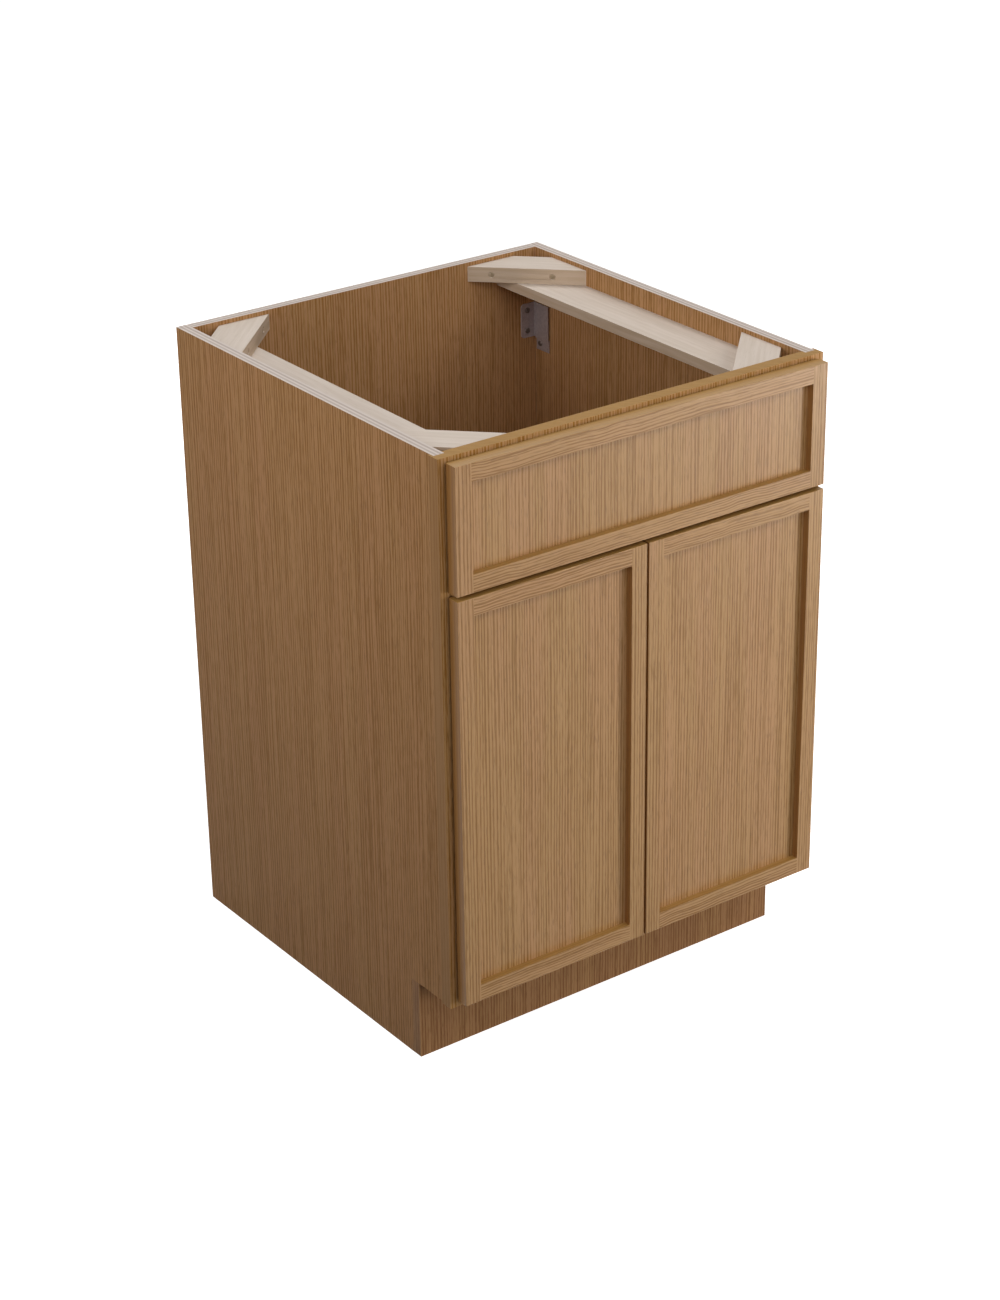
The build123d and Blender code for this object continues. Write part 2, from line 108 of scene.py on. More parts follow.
class Graph:
    """A node tree that is written like a formula: most methods add a node and give its output."""

    # A Mix node has sockets for every type of value: these are the ones for colours.
    MIX_COLOURS = (6, 7)
    MIX_RESULT = 2

    def __init__(self, owner: "bpy.types.Material | bpy.types.World") -> None:
        """Empties the tree of a new material or world.

        Args:
            owner: what the tree belongs to.
        """
        owner.use_nodes = True
        self.owner = owner
        self.tree = owner.node_tree
        self.tree.nodes.clear()

    @cached_property
    def coordinates(self) -> "bpy.types.bpy_prop_collection":
        """The outputs of the tree's one node for texture coordinates."""
        return self.tree.nodes.new("ShaderNodeTexCoord").outputs

    def node(self, kind: str, *inputs: "Socket | float | tuple", **settings: object) -> bpy.types.Node:
        """Adds a node and fills its first inputs.

        Args:
            kind: the node's type.
            inputs: sockets to link or plain values, in the order of the node's inputs.
            settings: properties of the node.

        Returns:
            The new node.
        """
        made = self.tree.nodes.new(kind)
        for setting, value in settings.items():
            setattr(made, setting, value)
        for socket, given in zip(made.inputs, inputs):
            self.feed(socket, given)
        return made

    def feed(self, socket: Socket, given: "Socket | float | tuple") -> None:
        """Fills a socket.

        Args:
            socket: the input to fill.
            given: an output to link to it, or a plain value. A colour is given without its alpha.
        """
        if isinstance(given, bpy.types.NodeSocket):
            self.tree.links.new(given, socket)
        elif socket.type == "RGBA":
            socket.default_value = (*given, 1.0)
        else:
            socket.default_value = given

    def math(self, operation: str, *inputs: "Socket | float") -> Socket:
        """Gives the result of one sum on numbers."""
        return self.node("ShaderNodeMath", *inputs, operation=operation).outputs[0]

    def vector(self, operation: str, *inputs: "Socket | tuple") -> Socket:
        """Gives the result of one sum on vectors."""
        return self.node("ShaderNodeVectorMath", *inputs, operation=operation).outputs[0]

    def split(self, vector: Socket) -> tuple[Socket, Socket, Socket]:
        """Gives the three coordinates of a vector."""
        return tuple(self.node("ShaderNodeSeparateXYZ", vector).outputs)

    def swing(self, value: Socket, middle: float, strength: float) -> Socket:
        """Gives how far a value is from the middle, times the strength."""
        return self.math("MULTIPLY", self.math("SUBTRACT", value, middle), strength)

    def noise(self, place: Socket, cells: Point, detail: float = 1.0, rough: float = 0.5) -> Socket:
        """Gives smooth noise, about 0 to 1.

        Args:
            place: where the noise is read.
            cells: noise cells per metre along each coordinate.
            detail: number of finer layers added.
            rough: weight of each finer layer.

        Returns:
            The noise value.
        """
        made = self.node("ShaderNodeTexNoise", noise_dimensions="3D")
        scaled = self.vector("MULTIPLY", place, cells)
        for name, given in (("Vector", scaled), ("Scale", 1.0), ("Detail", detail), ("Roughness", rough)):
            self.feed(made.inputs[name], given)
        return made.outputs["Fac"]

    def ramp(self, value: Socket, low: float, high: float, start: float, end: float) -> Socket:
        """Gives an even change from start, at low, to end, at high."""
        return self.node("ShaderNodeMapRange", value, low, high, start, end).outputs[0]

    def step(self, value: Socket, low: float, high: float, start: float = 0.0, end: float = 1.0) -> Socket:
        """Gives a smooth change from start, at low, to end, at high."""
        made = self.node("ShaderNodeMapRange", value, low, high, start, end, interpolation_type="SMOOTHSTEP")
        return made.outputs[0]

    def blend(self, share: "Socket | float", first: "Socket | Colour", second: "Socket | Colour") -> Socket:
        """Mixes two colours.

        Args:
            share: share of the second colour.
            first, second: the colours.

        Returns:
            The mixed colour.
        """
        made = self.node("ShaderNodeMix", data_type="RGBA")
        self.feed(made.inputs[0], share)
        for index, given in zip(self.MIX_COLOURS, (first, second)):
            self.feed(made.inputs[index], given)
        return made.outputs[self.MIX_RESULT]

    def finish(self, colour: Socket, roughness: "Socket | float", height: Socket, depth: float,
               **fixed: float) -> None:
        """Closes a material's graph with a surface shader.

        Args:
            colour: base colour.
            roughness: surface roughness.
            height: relief from 0 to 1.
            depth: height of that relief, in metres.
            fixed: other inputs of the shader that are the same all over, with _ for a space.
        """
        relief = self.node("ShaderNodeBump")
        self.feed(relief.inputs["Strength"], 1.0)
        self.feed(relief.inputs["Distance"], depth)
        self.feed(relief.inputs["Height"], height)
        shader = self.node("ShaderNodeBsdfPrincipled")
        self.feed(shader.inputs["Base Color"], colour)
        self.feed(shader.inputs["Roughness"], roughness)
        self.feed(shader.inputs["Normal"], relief.outputs["Normal"])
        for name, value in fixed.items():
            self.feed(shader.inputs[name.replace("_", " ")], value)
        self.node("ShaderNodeOutputMaterial", shader.outputs[0])


# How far a seed of 1 moves the pattern, in metres.
SEED_SHIFT: Point = (1.7, 2.3, 3.1)
# How squarely a face has to look along an axis to count as facing it.
FACING: Band = (0.6, 0.8)


@dataclass(frozen=True)
class Board:
    """What a finish needs to know of the piece that it covers.

    A plywood sheet also has the axis through its thickness.
    """

    name: str
    grain: Grain
    low: Point
    high: Point
    seed: float
    sheet: Axis | None

    @classmethod
    def of(cls, node: str, grain: Grain = Grain.UP, seed: float = 0.0, sheet: Axis | None = None) -> "Board":
        """Reads a CAD node's box. The seed chooses the part of the pattern that the board shows."""
        low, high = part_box(node)
        return cls(node, grain, tuple(low), tuple(high), seed, sheet)

    def place(self, graph: Graph) -> Socket:
        """Gives the place in the board's own wood.

        Args:
            graph: the graph to add to.

        Returns:
            The place, with Z along the grain and the pattern shifted by the seed.
        """
        turn = Vector(self.grain.value).rotation_difference(Vector(UP)).to_euler("XYZ")
        shift = tuple(step * self.seed for step in SEED_SHIFT)
        return graph.node("ShaderNodeMapping", graph.coordinates["Object"], shift, tuple(turn)).outputs[0]

    def worn_and_lit(self, graph: Graph, width: float, share: float) -> Socket:
        """Gives the lightening of the arrises, partly rubbed lacquer and partly painted highlight: the share
        on an arris of the board's box, down to 0 at the width.

        The distance to the nearest arris is the second smallest of the three distances to the box's faces.

        Args:
            graph: the graph to add to.
            width: of the lightened stripe, in metres.
            share: the lightening on the arris itself.

        Returns:
            The lightening.
        """
        depths = []
        for coordinate, low, high in zip(graph.split(graph.coordinates["Object"]), self.low, self.high):
            above = graph.math("SUBTRACT", coordinate, low)
            below = graph.math("SUBTRACT", high, coordinate)
            depths.append(graph.math("MINIMUM", above, below))
        first, second, third = depths
        smaller, larger = graph.math("MINIMUM", first, second), graph.math("MAXIMUM", first, second)
        distance = graph.math("MAXIMUM", smaller, graph.math("MINIMUM", larger, third))
        return graph.step(distance, 0.0, width, share, 0.0)

    def facing(self, graph: Graph, axis: Axis) -> Socket:
        """Gives 1 on faces square to the axis and 0 on the others."""
        along = graph.split(graph.coordinates["Normal"])[axis.value]
        return graph.step(graph.math("ABSOLUTE", along), *FACING)

    def inner_face(self, graph: Graph) -> Socket:
        """Finds the face of a sheet that looks into the cabinet: upwards, or towards its middle.

        Args:
            graph: the graph to add to.

        Returns:
            1 on that face and 0 on the others.
        """
        axis = self.sheet.value
        towards = 1.0 if self.sheet is Axis.Z else -math.copysign(1.0, self.low[axis] + self.high[axis])
        along = graph.split(graph.coordinates["Normal"])[axis]
        return graph.step(graph.math("MULTIPLY", along, towards), *FACING)


# ---- Finishes ----


class Finish:
    """What the finishes share: each paints one material a board."""

    kind: str

    def dress(self, board: Board) -> bpy.types.Material:
        """Makes the finish for one board.

        Args:
            board: the board that it covers.

        Returns:
            The material.
        """
        graph = Graph(bpy.data.materials.new(f"{self.kind}_{board.name}"))
        self.paint(graph, board)
        return graph.owner

    def paint(self, graph: Graph, board: Board) -> None:
        """Fills the material's graph, as each finish does in its own way."""
        raise NotImplementedError


@dataclass(frozen=True)
class Oak(Finish):
    """Straight-grained oak under a satin lacquer.

    Noise cells are counted per metre, the third along the grain. In those of the lines, dashes and pores,
    which are as fine as the stripes, the first is counted per stripe.
    """

    kind = "oak"
    pale: Colour = linear(171, 132, 85)
    rosy: Colour = linear(173, 131, 88)
    deep: Colour = linear(134, 94, 44)
    pore: Colour = linear(92, 60, 33)
    # The lighter arrises: partly rubbed lacquer, partly painted highlight.
    edge: Colour = linear(184, 142, 89)
    stripes_per_metre: float = 285.0
    ring_tilt: float = 40.0
    sway: float = 0.8 * MM
    sway_per_metre: float = 7.0
    sway_squat: float = 0.6
    wander: float = 14.0
    wander_cells: Point = (45.0, 4.0, 1.5)
    stripe_share: float = 0.085
    line_share: float = 0.52
    line_cells: Point = (2.0, 5.0, 3.5)
    dash_share: float = 0.30
    dash_cells: Point = (2.8, 60.0, 40.0)
    band_share: float = 0.03
    band_cells: Point = (34.0, 8.0, 1.1)
    contrast: float = 1.05
    shade_band: Band = (0.36, 0.58)
    pore_share: float = 0.30
    pore_cells: Point = (3.0, 300.0, 70.0)
    pore_band: Band = (0.58, 0.72)
    warmth_cells: Point = (24.0, 24.0, 2.5)
    warmth_band: Band = (0.35, 0.65)
    # How strongly and how wide the arrises are lightened: partly rubbed lacquer, partly painted highlight.
    wear_and_highlight: float = 0.22
    wear_and_highlight_width: float = 1.1 * MM
    roughness: float = 0.38
    specular: float = 0.32
    relief: float = 0.05 * MM
    line_relief: float = 0.3

    def rings(self, graph: Graph, wood: Socket) -> tuple[Socket, Socket]:
        """Works out where a place is among the rings.

        The rings are planes tilted about the grain, and a slow noise makes them sway.

        Args:
            graph: the graph to add to.
            wood: the place in the wood, with the grain along Z.

        Returns:
            The distance across the rings, and the place whose first coordinate that distance is.
        """
        slow = self.sway_per_metre
        drift = graph.noise(wood, (slow * self.sway_squat, slow * self.sway_squat, slow))
        across, through, along = graph.split(wood)
        tilt = math.radians(self.ring_tilt)
        ring = graph.math("ADD", graph.math("MULTIPLY", across, math.cos(tilt)),
                          graph.math("MULTIPLY", through, math.sin(tilt)))
        ring = graph.math("ADD", ring, graph.swing(drift, NOISE_MIDDLE, self.sway * 2.0))
        tangent = graph.math("SUBTRACT", graph.math("MULTIPLY", through, math.cos(tilt)),
                             graph.math("MULTIPLY", across, math.sin(tilt)))
        return ring, graph.node("ShaderNodeCombineXYZ", ring, tangent, along).outputs[0]

    def fine_noise(self, graph: Graph, laid: Socket, cells: Point, rough: float = LIVELY) -> Socket:
        """Gives noise as fine as the stripes: the first of its cells is counted per stripe."""
        return graph.noise(laid, (cells[0] * self.stripes_per_metre, *cells[1:]), rough=rough)

    def figure(self, graph: Graph, wood: Socket) -> tuple[Socket, Socket]:
        """Builds the wood's figure.

        The lines are even stripes, whose phase wanders, and noise of the same pitch that hardly changes
        along the grain. Noise that is shorter along the grain breaks them up. The pores are short dark
        dashes.

        Args:
            graph: the graph to add to.
            wood: the place in the wood, with the grain along Z.

        Returns:
            The lines, from 0 to 1, and the pores, from 0 to 1.
        """
        ring, laid = self.rings(graph, wood)
        wander = graph.math("MULTIPLY", graph.noise(laid, self.wander_cells), self.wander)
        turns = graph.math("ADD", graph.math("MULTIPLY", ring, self.stripes_per_metre * math.tau), wander)
        shade = NOISE_MIDDLE
        for layer, middle, share in (
            (graph.math("SINE", turns), 0.0, self.stripe_share),
            (self.fine_noise(graph, laid, self.line_cells), NOISE_MIDDLE, self.line_share),
            (self.fine_noise(graph, laid, self.dash_cells), NOISE_MIDDLE, self.dash_share),
            (graph.noise(laid, self.band_cells), NOISE_MIDDLE, self.band_share),
        ):
            shade = graph.math("ADD", shade, graph.swing(layer, middle, share * self.contrast))
        pores = self.fine_noise(graph, laid, self.pore_cells, rough=0.5)
        return graph.step(shade, *self.shade_band), graph.step(pores, *self.pore_band)

    def face(self, graph: Graph, board: Board) -> tuple[Socket, Socket, Socket]:
        """Colours the figure and gives it relief.

        Args:
            graph: the graph to add to.
            board: the board that it covers.

        Returns:
            The colour, the lines, and the relief: the lines stand up a little and the pores are sunk.
        """
        wood = board.place(graph)
        lines, pores = self.figure(graph, wood)
        warmth = graph.step(graph.noise(wood, self.warmth_cells), *self.warmth_band)
        colour = graph.blend(lines, self.deep, graph.blend(warmth, self.pale, self.rosy))
        colour = graph.blend(graph.math("MULTIPLY", pores, self.pore_share), colour, self.pore)
        return colour, lines, graph.math("SUBTRACT", graph.math("MULTIPLY", lines, self.line_relief), pores)

    def close(self, graph: Graph, board: Board, colour: Socket, height: Socket) -> None:
        """Lightens the board's arrises a little, as rubbed lacquer and painted highlight, and closes the
        graph with its colour and relief.
        """
        colour = graph.blend(board.worn_and_lit(graph, self.wear_and_highlight_width, self.wear_and_highlight), colour, self.edge)
        graph.finish(colour, self.roughness, height, self.relief, Specular_IOR_Level=self.specular)

    def paint(self, graph: Graph, board: Board) -> None:
        """Covers a board with the same figure all round."""
        colour, _, height = self.face(graph, board)
        self.close(graph, board, colour, height)


@dataclass(frozen=True)
class SmoothEdgedOak(Oak):
    """Oak boards with the figure on their wide faces alone: their edges are planed smooth.

    Painted light: the upper edges are lighter and yellower than the upright ones, as light falls from above.
    """

    wide: Axis = Axis.Y
    # Painted light: the top colours are the planed edges lit from above, the flank colours the same edges in
    # shade.
    top: Colour = linear(169, 129, 71)
    top_deep: Colour = linear(157, 117, 61)
    flank: Colour = linear(150, 106, 57)
    flank_deep: Colour = linear(136, 94, 49)

    def paint(self, graph: Graph, board: Board) -> None:
        """Covers a board.

        Args:
            graph: the graph to fill.
            board: the board that it covers.
        """
        colour, lines, height = self.face(graph, board)
        # Painted light: upward faces take the lit top colours, upright planed faces the shaded flank colours.
        upper = graph.blend(lines, self.top_deep, self.top)
        flank = graph.blend(lines, self.flank_deep, self.flank)
        planed = graph.blend(board.facing(graph, Axis.Z), flank, upper)
        wide = board.facing(graph, self.wide)
        self.close(graph, board, graph.blend(wide, planed, colour), graph.math("MULTIPLY", height, wide))


PALE_LAYER = linear(213, 201, 192)


@dataclass(frozen=True)
class VeneeredPly(Oak):
    """Plywood with an oak veneer on both faces, painted paler inside against the cabinet's shade, and its
    layers bare on the edges.
    """

    kind = "ply"
    pale: Colour = linear(177, 133, 89)
    rosy: Colour = linear(178, 132, 90)
    deep: Colour = linear(144, 101, 55)
    # Arrises lightened towards the bare layers' colour: partly rubbed, partly painted highlight.
    edge: Colour = PALE_LAYER
    contrast: float = 1.25
    wear_and_highlight: float = 0.3
    wear_and_highlight_width: float = 0.9 * MM
    specular: float = 0.06
    roughness: float = 0.50
    # Painted light: the inner faces are multiplied by this, paler and bluer, to lift the shade inside the
    # cabinet.
    inside: Colour = (1.15, 1.21, 1.31)
    inside_calm: float = 0.15
    layers: int = 5
    layer_pale: Colour = PALE_LAYER
    layer_deep: Colour = linear(186, 171, 161)
    layer_band: Band = (-0.6, 0.6)
    glue: Colour = linear(174, 156, 145)
    speck_cells: Point = (420.0, 420.0, 420.0)
    speck_detail: float = 2.0
    speck_band: Band = (0.5, 0.8)
    speck_share: float = 0.18
    core_line: float = 10.5 * MM
    core_line_half: float = 0.6 * MM
    core_line_share: float = 0.7

    def layered(self, graph: Graph, board: Board) -> Socket:
        """Colours the sheet's bare edges.

        Layers of two shades alternate through the thickness, as a sine does, with fine specks and one darker
        glue line at its own distance from the sheet's outer face.

        Args:
            graph: the graph to add to.
            board: the sheet.

        Returns:
            The colour of the edges.
        """
        axis = board.sheet.value
        through = graph.split(graph.coordinates["Object"])[axis]
        low, high = board.low[axis], board.high[axis]
        turns = graph.swing(through, low, math.pi * self.layers / (high - low))
        layer = graph.step(graph.math("SINE", turns), *self.layer_band)
        bare = graph.blend(layer, self.layer_deep, self.layer_pale)
        speckle = graph.noise(graph.coordinates["Object"], self.speck_cells, self.speck_detail, LIVELY)
        bare = graph.blend(graph.step(speckle, *self.speck_band, 0.0, self.speck_share), bare, self.glue)
        outer = high if abs(high) > abs(low) else low
        from_outer = graph.math("ABSOLUTE", graph.math("SUBTRACT", through, outer))
        off_line = graph.math("ABSOLUTE", graph.math("SUBTRACT", from_outer, self.core_line))
        line = graph.step(off_line, self.core_line_half, self.core_line_half * 2, self.core_line_share, 0.0)
        return graph.blend(line, bare, self.glue)

    def paint(self, graph: Graph, board: Board) -> None:
        """Covers a sheet: the veneer, calmer inside and painted paler there against the shade, and the layers
        on its edges.

        Args:
            graph: the graph to fill.
            board: the sheet that it covers.
        """
        colour, _, height = self.face(graph, board)
        inner = board.inner_face(graph)
        even = tuple((light + dark) * 0.5 for light, dark in zip(self.pale, self.deep))
        colour = graph.blend(graph.math("MULTIPLY", inner, self.inside_calm), colour, even)
        # Painted light: the inner faces are lifted paler and bluer against the shade inside the cabinet.
        colour = graph.vector("MULTIPLY", colour, graph.blend(inner, WHITE, self.inside))
        colour = graph.blend(board.facing(graph, board.sheet), self.layered(graph, board), colour)
        self.close(graph, board, colour, height)


@dataclass(frozen=True)
class PaleWood(Finish):
    """Bare pale wood with a faint, close figure: planed on its level faces; elsewhere saw-cut, and browner
    partly as painted shade.
    """

    kind = "pale"
    pale: Colour = linear(214, 200, 187)
    deep: Colour = linear(204, 189, 174)
    # Upright faces: darker and browner, partly saw-cut surface and partly painted shade.
    sawn_and_shaded: Colour = linear(196, 175, 153)
    sawn_and_shaded_deep: Colour = linear(183, 160, 135)
    fleck: Colour = linear(172, 151, 131)
    # The lighter arrises: partly rubbed, partly painted highlight.
    edge: Colour = linear(226, 214, 201)
    drift: float = 6.0 * MM
    drift_cells: Point = (12.0, 12.0, 9.0)
    line_cells: Point = (160.0, 160.0, 7.0)
    line_detail: float = 3.0
    line_band: Band = (0.3, 0.7)
    fleck_cells: Point = (500.0, 500.0, 45.0)
    fleck_band: Band = (0.6, 0.8)
    fleck_share: float = 0.22
    # How strongly and how wide the arrises are lightened: partly rubbed, partly painted highlight.
    wear_and_highlight: float = 0.7
    wear_and_highlight_width: float = 1.0 * MM
    roughness: float = 0.66
    specular: float = 0.3
    relief: float = 0.08 * MM

    def paint(self, graph: Graph, board: Board) -> None:
        """Covers a board.

        Args:
            graph: the graph to fill.
            board: the board that it covers.
        """
        wood = board.place(graph)
        across, through, along = graph.split(wood)
        drift = graph.math("MULTIPLY", graph.noise(wood, self.drift_cells), self.drift)
        pushed = graph.math("ADD", across, drift)
        laid = graph.node("ShaderNodeCombineXYZ", pushed, through, along).outputs[0]
        lines = graph.noise(laid, self.line_cells, self.line_detail, LIVELY)
        share = graph.step(lines, *self.line_band)
        planed = graph.blend(share, self.deep, self.pale)
        # Faces that don't look up get the darker, browner colours: partly saw-cut, partly painted shade.
        rough = graph.blend(share, self.sawn_and_shaded_deep, self.sawn_and_shaded)
        colour = graph.blend(board.facing(graph, Axis.Z), rough, planed)
        flecks = graph.step(graph.noise(laid, self.fleck_cells), *self.fleck_band, 0.0, self.fleck_share)
        colour = graph.blend(flecks, colour, self.fleck)
        # Lighter arrises: partly rubbed, partly painted highlight.
        colour = graph.blend(board.worn_and_lit(graph, self.wear_and_highlight_width, self.wear_and_highlight), colour, self.edge)
        graph.finish(colour, self.roughness, lines, self.relief, Specular_IOR_Level=self.specular)


@dataclass(frozen=True)
class Steel(Finish):
    """Plated steel with a fine, uneven sheen."""

    kind = "steel"
    bright: Colour
    dull: Colour
    roughness: float
    metallic: float
    mottle_per_metre: float = 260.0
    unevenness: float = 0.2
    mottle_detail: float = 3.0
    mottle_band: Band = (0.35, 0.65)
    grain_cells: Point = (2200.0, 2200.0, 2200.0)
    relief: float = 0.01 * MM

    def paint(self, graph: Graph, board: Board) -> None:
        """Covers a fitting with an uneven sheen.

        Args:
            graph: the graph to fill.
            board: the fitting that it covers; not used.
        """
        place = graph.coordinates["Object"]
        mottle = graph.noise(place, (self.mottle_per_metre,) * 3, self.mottle_detail, LIVELY)
        colour = graph.blend(graph.step(mottle, *self.mottle_band), self.dull, self.bright)
        roughness = graph.math("ADD", graph.swing(mottle, NOISE_MIDDLE, self.unevenness), self.roughness)
        grain = graph.noise(place, self.grain_cells)
        graph.finish(colour, roughness, grain, self.relief, Metallic=self.metallic)


@dataclass(frozen=True)
class SoftPad(Finish):
    """Cloudy, rubbery pads."""

    kind = "pad"
    body: Colour = linear(206, 204, 196)
    cloud: Colour = linear(186, 183, 172)
    cloud_cells: Point = (500.0, 500.0, 500.0)
    cloud_detail: float = 2.0
    roughness: float = 0.42
    clearness: float = 0.25
    relief: float = 0.02 * MM

    def paint(self, graph: Graph, board: Board) -> None:
        """Covers a set of pads.

        Args:
            graph: the graph to fill.
            board: the set of pads that it covers; not used.
        """
        cloud = graph.noise(graph.coordinates["Object"], self.cloud_cells, self.cloud_detail)
        colour = graph.blend(cloud, self.cloud, self.body)
        graph.finish(colour, self.roughness, cloud, self.relief, Transmission_Weight=self.clearness)


FRONT_OAK = SmoothEdgedOak()
# Painted light: paler flanks for the stile at a front's right, whose inner flank lies in the shade of the
# panel's recess.
PAINTED_LIGHT_FLANK_OAK = SmoothEdgedOak(flank=linear(178, 131, 78), flank_deep=linear(164, 119, 69))
RAIL_OAK = SmoothEdgedOak(sway=3.0 * MM, sway_per_metre=18.0, stripes_per_metre=340.0, contrast=1.4)
# Painted shade: the middle and bottom rails are darker, for the deep shade in the gaps behind the fronts.
GAP_SHADED_FRAME_OAK = SmoothEdgedOak(pale=linear(153, 112, 72), rosy=linear(155, 111, 74), deep=linear(120, 79, 37),
                           specular=0.05)
# Its flank colours also carry the painted light of the planed edges.
PALE_FRAME_OAK = SmoothEdgedOak(pale=linear(181, 141, 93), rosy=linear(183, 140, 96), specular=0.05,
                                deep=linear(146, 103, 48), flank=linear(163, 121, 77),
                                flank_deep=linear(150, 108, 65))
TOE_OAK = Oak(pale=linear(164, 121, 83), deep=linear(133, 92, 57), specular=0.05)
PLY = VeneeredPly()
PALE = PaleWood()
BRACKET_STEEL = Steel(linear(187, 175, 175), linear(173, 161, 162), roughness=0.5, metallic=0.5)
HINGE_STEEL = Steel(linear(216, 214, 211), linear(208, 206, 203), roughness=0.30, metallic=0.85,
                    mottle_per_metre=90.0, unevenness=0.08)
BRACKET_SCREWS = Steel(linear(142, 128, 120), linear(114, 102, 96), roughness=0.45, metallic=0.6)
YELLOW_SCREWS = Steel(linear(188, 170, 145), linear(164, 146, 120), roughness=0.48, metallic=0.35)
SOFT_PAD = SoftPad()


def coat(node: str, material: bpy.types.Material) -> bpy.types.Object:
    """Puts a material on a CAD node's object.

    Args:
        node: the node's name.
        material: what goes on all of its slots.

    Returns:
        The object.
    """
    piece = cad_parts[node]
    if not piece.material_slots:
        piece.data.materials.append(material)
    for slot in piece.material_slots:
        slot.material = material
    log.info("%s: %s", node, material.name)
    return piece


SAME_PLACE = 0.01 * MM
SANDED_FACETS = 2
SANDED_FROM = math.radians(50.0)


def soften(piece: bpy.types.Object, width: float) -> None:
    """Rounds a piece's sharp edges a little, as sanding does.

    Args:
        piece: the object.
        width: of the rounding, in metres.
    """
    weld = piece.modifiers.new("joined_corners", "WELD")
    weld.merge_threshold = SAME_PLACE
    bevel = piece.modifiers.new("sanded_edges", "BEVEL")
    bevel.width = width
    bevel.segments = SANDED_FACETS
    bevel.limit_method = "ANGLE"
    bevel.angle_limit = SANDED_FROM
    bevel.harden_normals = True


def dress_board(finish: Finish, board: Board, rounding: float) -> None:
    """Dresses the CAD node of a board and rounds its arrises."""
    soften(coat(board.name, finish.dress(board)), rounding)


# ---- Surfaces ----


def box_of(points: Array) -> tuple[Array, Array, Array]:
    """Gives the lowest and the highest corner of the box round some points, and its middle."""
    low, high = points.min(axis=0), points.max(axis=0)
    return low, high, (low + high) / 2


def even_rings(values: Array, around: int) -> Array:
    """Repeats one number a ring for each of the ring's points."""
    return np.repeat(np.reshape(values, (-1, 1)), around, axis=1)


def lathe(radii: Array, heights: Array, around: int = 48) -> Array:
    """Turns a profile about Z.

    Each ring's points are (radius cos a, radius sin a, height) for even angles a. A radius or a height may be
    one number a ring or one a point.

    Args:
        radii: radius of each ring, or of each of its points.
        heights: height of each ring, or of each of its points.
        around: points in a ring.

    Returns:
        The rings, as rings by points by coordinates.
    """
    angles = np.linspace(0.0, math.tau, around, endpoint=False)
    radii, heights = (each if np.ndim(each) == 2 else even_rings(each, around) for each in (radii, heights))
    return np.stack((radii * np.cos(angles), radii * np.sin(angles), heights), axis=-1)


def left_normals(steps: Array) -> Array:
    """Gives the unit normals on the left of a level path, from the steps along it."""
    along = steps / np.linalg.norm(steps, axis=1, keepdims=True)
    return np.stack((-along[:, 1], along[:, 0]), axis=-1)


ARRIS_RINGS = 4
CORNER_POINTS = 6


def slab(outline: Array, low: float, high: float, round_radius: float) -> Array:
    """Makes a plate with rounded arrises from its outline.

    Each ring is the outline moved inwards along its normals, by the round's cosine short of its radius, at
    the height that the round's sine gives. An inner ring of half the size closes each face.

    Args:
        outline: points around the plate, as points by two coordinates, counter-clockwise.
        low, high: the plate's lower and upper face.
        round_radius: of the arrises.

    Returns:
        The rings, as rings by points by coordinates.
    """
    inward = left_normals(np.roll(outline, -1, axis=0) - np.roll(outline, 1, axis=0))
    angles = np.linspace(0.0, math.pi / 2, ARRIS_RINGS)
    insets = round_radius * (1.0 - np.sin(angles))
    rises = round_radius * (1.0 - np.cos(angles))
    insets = np.concatenate((insets, insets[::-1]))
    levels = np.concatenate((low + rises, (high - rises)[::-1]))
    flat = outline[None] + inward[None] * insets[:, None, None]
    rings = np.concatenate((flat, even_rings(levels, len(outline))[:, :, None]), axis=-1)
    middle = rings.mean(axis=1, keepdims=True)
    shrunk = middle + (rings - middle) * 0.5
    return np.concatenate((shrunk[:1], rings, shrunk[-1:]))


def round_corners(corner: float) -> tuple[Array, Array]:
    """Gives what a rounded rectangle's outline is made of, counter-clockwise.

    Args:
        corner: radius of its corners.

    Returns:
        Each point's corner, as the signs of its two coordinates, and its offset from that corner's centre.
    """
    sweep = np.linspace(0.0, math.pi / 2, CORNER_POINTS)
    angles = (np.arange(4)[:, None] * math.pi / 2 + sweep).ravel()
    signs = np.array(((1.0, 1.0), (-1.0, 1.0), (-1.0, -1.0), (1.0, -1.0))).repeat(CORNER_POINTS, axis=0)
    return signs, corner * np.stack((np.cos(angles), np.sin(angles)), axis=-1)


def strap(path: Array, half_widths: Array, half_thickness: float, corner: float) -> Array:
    """Carries a rounded rectangle along a path that lies level.

    At each point the section stands square to the path: its width runs upwards and its thickness along the
    path's level normal.

    Args:
        path: points by two level coordinates.
        half_widths: half the strap's width at each point.
        half_thickness: half its thickness.
        corner: radius of the section's corners.

    Returns:
        The rings, as rings by points by coordinates.
    """
    signs, arcs = round_corners(corner)
    upward = signs[:, 0] * (half_widths[:, None] - corner) + arcs[:, 0]
    sideways = signs[:, 1] * (half_thickness - corner) + arcs[:, 1]
    normals = left_normals(np.gradient(path, axis=0))
    level = path[:, None, :] + normals[:, None, :] * sideways[None, :, None]
    return np.concatenate((level, upward[:, :, None]), axis=-1)


def placed(rings: Array, origin: Point, across: Point, upward: Point, outward: Point) -> Array:
    """Moves rings from their own axes to the cabinet's: each coordinate runs along the axis given for it."""
    return np.asarray(origin) + rings @ np.array((across, upward, outward))


